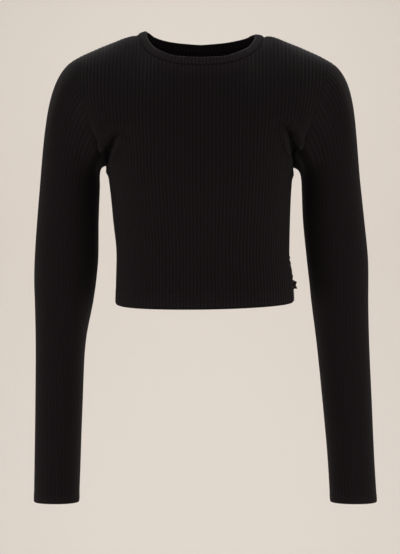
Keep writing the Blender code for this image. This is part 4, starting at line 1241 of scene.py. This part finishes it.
def knit_material(name, dark, light, sheen, bump, depth=FINE_BUMP, shade_grooves=False):
    """Dyed yarn with painted shade in the stitches' gaps and its own colour on their tops, painted
    shade in the rib grooves when asked, and a soft sheen.
    """
    material = bpy.data.materials.get(name)
    if material:
        return material
    material = bpy.data.materials.new(name)
    material.use_nodes = True
    tree = material.node_tree
    shader = tree.nodes["Principled BSDF"]
    set_inputs(shader, {"Roughness": 0.80, "Specular IOR Level": 0.05, "Sheen Weight": sheen})
    set_inputs(shader, {"Sheen Roughness": 0.42, "Sheen Tint": (1.0, 0.90, 0.90, 1.0)})
    uv = tree.nodes.new("ShaderNodeUVMap")
    uv.uv_map = "cloth_metres"
    place = tree.nodes.new("ShaderNodeTexCoord")
    knit = use_group(tree, "knit_loops", knit_group, uv.outputs["UV"])
    dye = use_group(tree, "dye_unevenness", dye_group, place.outputs["Object"])
    # Painted shade: the dark copy goes into the stitches' gaps.
    colour = mix_colour(tree, knit.outputs["Shade"], dark, light)
    colour = mix_colour(tree, dye.outputs["Mask"], colour, light)
    if shade_grooves:
        # Painted shade in the rib grooves.
        groove_shade = use_group(tree, "rib_grooves", groove_shade_group, uv.outputs["UV"])
        colour = mix_colour(tree, groove_shade.outputs["Mask"], GROOVE_SHADE_COLOUR, colour)
    # The cloth_tone attribute scales the colour: painted light and painted shade.
    tone = tree.nodes.new("ShaderNodeAttribute")
    tone.attribute_name = "cloth_tone"
    toned = tree.nodes.new("ShaderNodeVectorMath")
    toned.operation = "SCALE"
    tree.links.new(colour, toned.inputs[0])
    tree.links.new(math_node(tree, "ADD", tone.outputs["Fac"], 1.0), toned.inputs["Scale"])
    tree.links.new(toned.outputs[0], shader.inputs["Base Color"])
    raise_cloth = tree.nodes.new("ShaderNodeBump")
    set_inputs(raise_cloth, {"Strength": bump, "Distance": depth})
    tree.links.new(knit.outputs["Height"], raise_cloth.inputs["Height"])
    tree.links.new(raise_cloth.outputs["Normal"], shader.inputs["Normal"])
    return material


def plain_material(name, colour, roughness):
    """One even colour with hardly any shine."""
    material = bpy.data.materials.new(name)
    material.use_nodes = True
    values = {"Base Color": colour, "Roughness": roughness, "Specular IOR Level": 0.1}
    set_inputs(material.node_tree.nodes["Principled BSDF"], values)
    return material


def scaled(colour, by):
    """A colour made darker or lighter."""
    return tuple(c * by for c in colour[:3]) + (1.0,)


def garment_material(knit, band=False):
    """The rib knit of the garment, or of its neckband."""
    name, colour = ("black_band", knit.band_colour) if band else ("black_rib", knit.colour)
    # A shaded copy of the yarn's colour, for the painted shade in the stitches' gaps.
    dark = scaled(colour, 0.55)
    return knit_material(name, dark, tuple(colour), knit.sheen, 0.6, shade_grooves=True)


def dress(piece, nodes):
    """Fixes a cloth piece to the garment's body, in place of its solids."""
    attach(piece, "root")
    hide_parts(*nodes)


# ---------------------------------------------------------------- settings
def length(name, what, default, low, high, digits=4):
    """A measure for the sidebar, in metres."""
    return bpy.props.FloatProperty(
        name=name, description=what, default=default, min=low, max=high,
        precision=digits, unit="LENGTH",
    )


def power(name, what, default):
    """A light's strength for the sidebar."""
    return bpy.props.FloatProperty(name=name, description=what, default=default, min=0.0, unit="POWER")


def tint(name, what, *default):
    """A colour for the sidebar."""
    return bpy.props.FloatVectorProperty(
        name=name, description=what, default=(*default, 1.0), size=4, min=0.0, max=1.0,
        subtype="COLOR",
    )


class KnitSettings(bpy.types.PropertyGroup):
    rib_height: length(
        "Rib height", "How far a rib stands out of the body's cloth", 0.00062, 0.0, 0.002, 5
    )
    sleeve_rib: length(
        "Sleeve rib height", "How far a rib stands out on the sleeves", 0.00030, 0.0, 0.002, 5
    )
    wall: length("Cloth thickness", "The wall between two ribs", 0.0013, 0.0005, 0.003, 5)
    turned: length("Turned layer", "Extra thickness where an edge is turned up", 0.0009, 0.0, 0.002, 5)
    hem_turn: length("Hem depth", "How deep the hem is turned up", 0.020, 0.005, 0.04)
    cuff_turn: length("Cuff depth", "How deep the cuff is turned up", 0.014, 0.005, 0.04)
    neck_stitch: length(
        "Neck stitching", "How far below the neckband its stitching runs", 0.0085, 0.002, 0.02
    )
    seam_draw: length(
        "Seam draw", "How far the cloth is drawn in along its seams", 0.0002, 0.0, 0.002, 5
    )
    neck_groove: length(
        "Neck groove", "Depth of the groove along the neckband's seam", 0.0008, 0.0, 0.002, 5
    )
    band_pitch: length("Band rib pitch", "From one rib of the neckband to the next", 0.005, 0.001, 0.01)
    band_rib: length("Band rib height", "How far the neckband's ribs stand out", 0.0006, 0.0, 0.001, 5)
    columns_per_rib: bpy.props.IntProperty(
        name="Columns in a rib", description="How finely a rib is modelled across",
        default=6, min=2, max=8,
    )
    row_spacing: length("Row spacing", "How far apart the mesh's rows are", 0.004, 0.002, 0.02)
    colour: tint("Cloth colour", "Colour of the rib knit", 0.0060, 0.0039, 0.0044)
    band_colour: tint("Band colour", "Colour of the neckband", 0.0112, 0.0081, 0.0088)
    sheen: bpy.props.FloatProperty(
        name="Sheen", description="How much soft light the fibres catch at their edges",
        default=0.045, min=0.0, max=1.0, subtype="FACTOR",
    )


class StitchSettings(bpy.types.PropertyGroup):
    pitch: length("Stitch length", "From one stitch to the next", 0.0030, 0.001, 0.01)
    thickness: length("Thread thickness", "The sewing thread's diameter", 0.00042, 0.0001, 0.001, 5)
    colour: tint("Thread colour", "Colour of the sewing thread", 0.0066, 0.0046, 0.0050)


class StageSettings(bpy.types.PropertyGroup):
    floor_z: length("Floor height", "Height of the floor below the top", -1.35, -3.0, -0.7)
    floor_colour: tint("Floor colour", "Colour of the floor and backdrop", 0.745, 0.69, 0.635)
    key_power: power("Key light", "Strength of the large light in front", 18.0)
    side_power: power("Side lights", "Strength of the light at each side", 29.0)
    top_power: power("Top light", "Strength of the light above", 14.5)
    backdrop_power: power("Backdrop light", "Strength of the light on the backdrop", 108.0)
    fill: bpy.props.FloatProperty(
        name="Fill", description="Strength of the even light from all round",
        default=0.19, min=0.0,
    )
    distance: length("Camera distance", "From the camera to the middle of the top", 2.8, 1.0, 10.0)


def settings():
    """The three groups of settings: the knit's, the stitches' and the stage's."""
    scene = bpy.context.scene
    return scene.crop_top_knit, scene.crop_top_stitch, scene.crop_top_stage


def cloths():
    """The panels' and sleeves' surfaces, worked out once for all the pieces."""
    if not hasattr(cloths, "made"):
        cloths.made = {name: body_cloth(name) for name in ("front", "back")}
        cloths.halves = {side: armhole(side, cloths.made) for side in (-1, 1)}
        cloths.seams = {side: seam_normals(side, cloths.halves[side]) for side in (-1, 1)}
        cloths.sleeves = {
            name: sleeve_cloth(name, cloths.halves[side], cloths.seams[side])
            for name, side in SLEEVE_SIDE.items()
        }
    return cloths


# ---------------------------------------------------------------- operators
class CROPTOP_OT_panels(bpy.types.Operator):
    """Build the front and the back panel"""

    bl_idname = "croptop.panels"
    bl_label = "Front and Back"

    def execute(self, context):
        knit, _, _ = settings()
        shapes = cloths()
        for name, cloth in shapes.made.items():
            seams = {side: (shapes.seams[side][name], shapes.halves[side][name][3]) for side in (-1, 1)}
            piece = panel_shell(name, cloth, seams, knit, garment_material(knit))
            dress(piece, (name,))
        return {"FINISHED"}


class CROPTOP_OT_sleeves(bpy.types.Operator):
    """Build the two sleeves"""

    bl_idname = "croptop.sleeves"
    bl_label = "Sleeves"

    def execute(self, context):
        knit, _, _ = settings()
        for name, cloth in cloths().sleeves.items():
            piece = sleeve_shell(name + "_tube", cloth, knit, garment_material(knit))
            nodes = (name + "_upper", name + "_lower")
            dress(piece, nodes)
        return {"FINISHED"}


class CROPTOP_OT_neckband(bpy.types.Operator):
    """Build the ribbed neckband"""

    bl_idname = "croptop.neckband"
    bl_label = "Neckband"

    def execute(self, context):
        knit, _, _ = settings()
        piece = band_shell(knit, garment_material(knit, band=True))
        dress(piece, ("neckband",))
        return {"FINISHED"}


class CROPTOP_OT_side_tab(bpy.types.Operator):
    """Build the small tab in the side seam"""

    bl_idname = "croptop.side_tab"
    bl_label = "Side Tab"

    def execute(self, context):
        knit, _, _ = settings()
        # Both colours are lighter than the cloth's: painted light for the tab, which stands in the
        # body's shade.
        dark, light = scaled(knit.colour, 2.0), scaled(knit.band_colour, 4.5)
        material = knit_material("black_ribbon", dark, light, 0.05, 0.4, FLAT_BUMP)
        piece = tab_shell(cloths().made["front"], material)
        dress(piece, ("side_tab",))
        return {"FINISHED"}


class CROPTOP_OT_stitching(bpy.types.Operator):
    """Sew the stitches at the hem, cuffs and neck and the overlock beside the tab"""

    bl_idname = "croptop.stitching"
    bl_label = "Stitching"

    def execute(self, context):
        knit, stitch, _ = settings()
        shapes = cloths()
        thread = (stitch.pitch, stitch.thickness)
        # A shaded copy of the thread's colour, for the painted shade in its gaps.
        dark, light = scaled(stitch.colour, 0.6), tuple(stitch.colour)
        material = knit_material("black_thread", dark, light, 0.1, 0.2, FLAT_BUMP)
        hem, cuffs = turned_rows(shapes, knit)
        overlock, tones = serged_rows(shapes, knit)
        for piece in (
            sew("hem_stitching", hem, thread, material),
            sew("cuff_stitching", cuffs, thread, material),
            sew("neck_stitching", neck_rows(shapes, knit), thread, material),
            sew("side_serging", overlock, SERGING_THREAD, material, tones),
        ):
            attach(piece, "root")
        return {"FINISHED"}


class CROPTOP_OT_stage(bpy.types.Operator):
    """Set the floor, backdrop, lights and camera"""

    bl_idname = "croptop.stage"
    bl_label = "Stage"

    def execute(self, context):
        _, _, stage = settings()
        scene = context.scene
        scene.view_settings.view_transform = "Standard"
        floor_surface(stage)
        scene.world = scene.world or bpy.data.worlds.new("studio")
        scene.world.use_nodes = True
        background = scene.world.node_tree.nodes["Background"]
        set_inputs(background, {"Color": (1.0, 0.96, 0.93, 1.0), "Strength": stage.fill})
        for name, (setting, *where) in LIGHTS.items():
            area_light(name, getattr(stage, setting), *where)
        camera = bpy.data.objects.new("camera", bpy.data.cameras.new("camera"))
        scene.collection.objects.link(camera)
        camera.location = (0, -stage.distance, VIEW_Z)
        camera.rotation_euler = (math.radians(90), 0, 0)
        camera.data.sensor_width = SENSOR
        camera.data.lens = SENSOR * stage.distance / (VIEW_ROWS * ROW_METRES)
        camera.data.shift_x = -0.5 / VIEW_ROWS
        camera.data.clip_end = 50
        scene.camera = camera
        return {"FINISHED"}


def floor_surface(stage):
    """A floor that runs back and curves up into a backdrop: a straight line, a quarter
    circle and a straight line, carried sideways."""
    radius, back = FLOOR_CURVE
    turn = np.linspace(0, math.pi / 2, 25)
    y = np.concatenate([[-5.0], back - radius + radius * np.sin(turn), [back]])
    z = np.concatenate([[0.0], radius - radius * np.cos(turn), [5.0]]) + stage.floor_z
    x = np.linspace(-6, 6, 5)
    grid = stacked(x, y[:, None], z[:, None])
    keep = np.broadcast_to(np.arange(len(x))[None], grid.shape[:2])
    faces = shell_faces(keep, 0, False)
    flat = grid.reshape(-1, 3)
    material = plain_material("pale_floor", tuple(stage.floor_colour), 0.9)
    make_mesh("floor", flat, faces, np.zeros((len(flat), 2)), material, False)


def area_light(name, power, place, aim, size):
    """A square light that looks from its place towards its aim."""
    light = bpy.data.lights.new(name, "AREA")
    light.energy, light.size = power, size
    made = bpy.data.objects.new(name, light)
    made.location = place
    x, y, z = np.subtract(place, aim)
    made.rotation_euler = (math.atan2(math.hypot(x, y), z), 0, math.atan2(y, x) + math.pi / 2)
    bpy.context.scene.collection.objects.link(made)


class CROPTOP_PT_panel(bpy.types.Panel):
    bl_label = "Crop Top"
    bl_idname = "CROPTOP_PT_panel"
    bl_space_type = "VIEW_3D"
    bl_region_type = "UI"
    bl_category = "Crop Top"

    def draw(self, context):
        for group in settings():
            box = self.layout.box()
            for name in group.__annotations__:
                box.prop(group, name)
        for operator in OPERATORS:
            self.layout.operator(operator.bl_idname)


OPERATORS = (
    CROPTOP_OT_stage,
    CROPTOP_OT_panels,
    CROPTOP_OT_sleeves,
    CROPTOP_OT_neckband,
    CROPTOP_OT_side_tab,
    CROPTOP_OT_stitching,
)
GROUPS = {
    "crop_top_knit": KnitSettings,
    "crop_top_stitch": StitchSettings,
    "crop_top_stage": StageSettings,
}


def register():
    for cls in (*GROUPS.values(), *OPERATORS, CROPTOP_PT_panel):
        bpy.utils.register_class(cls)
    for name, group in GROUPS.items():
        setattr(bpy.types.Scene, name, bpy.props.PointerProperty(type=group))


def unregister():
    for name in GROUPS:
        delattr(bpy.types.Scene, name)
    for cls in reversed((*GROUPS.values(), *OPERATORS, CROPTOP_PT_panel)):
        bpy.utils.unregister_class(cls)


def main():
    register()
    for operator in OPERATORS:
        category, name = operator.bl_idname.split(".")
        getattr(getattr(bpy.ops, category), name)()


if __name__ == "__main__":
    main()
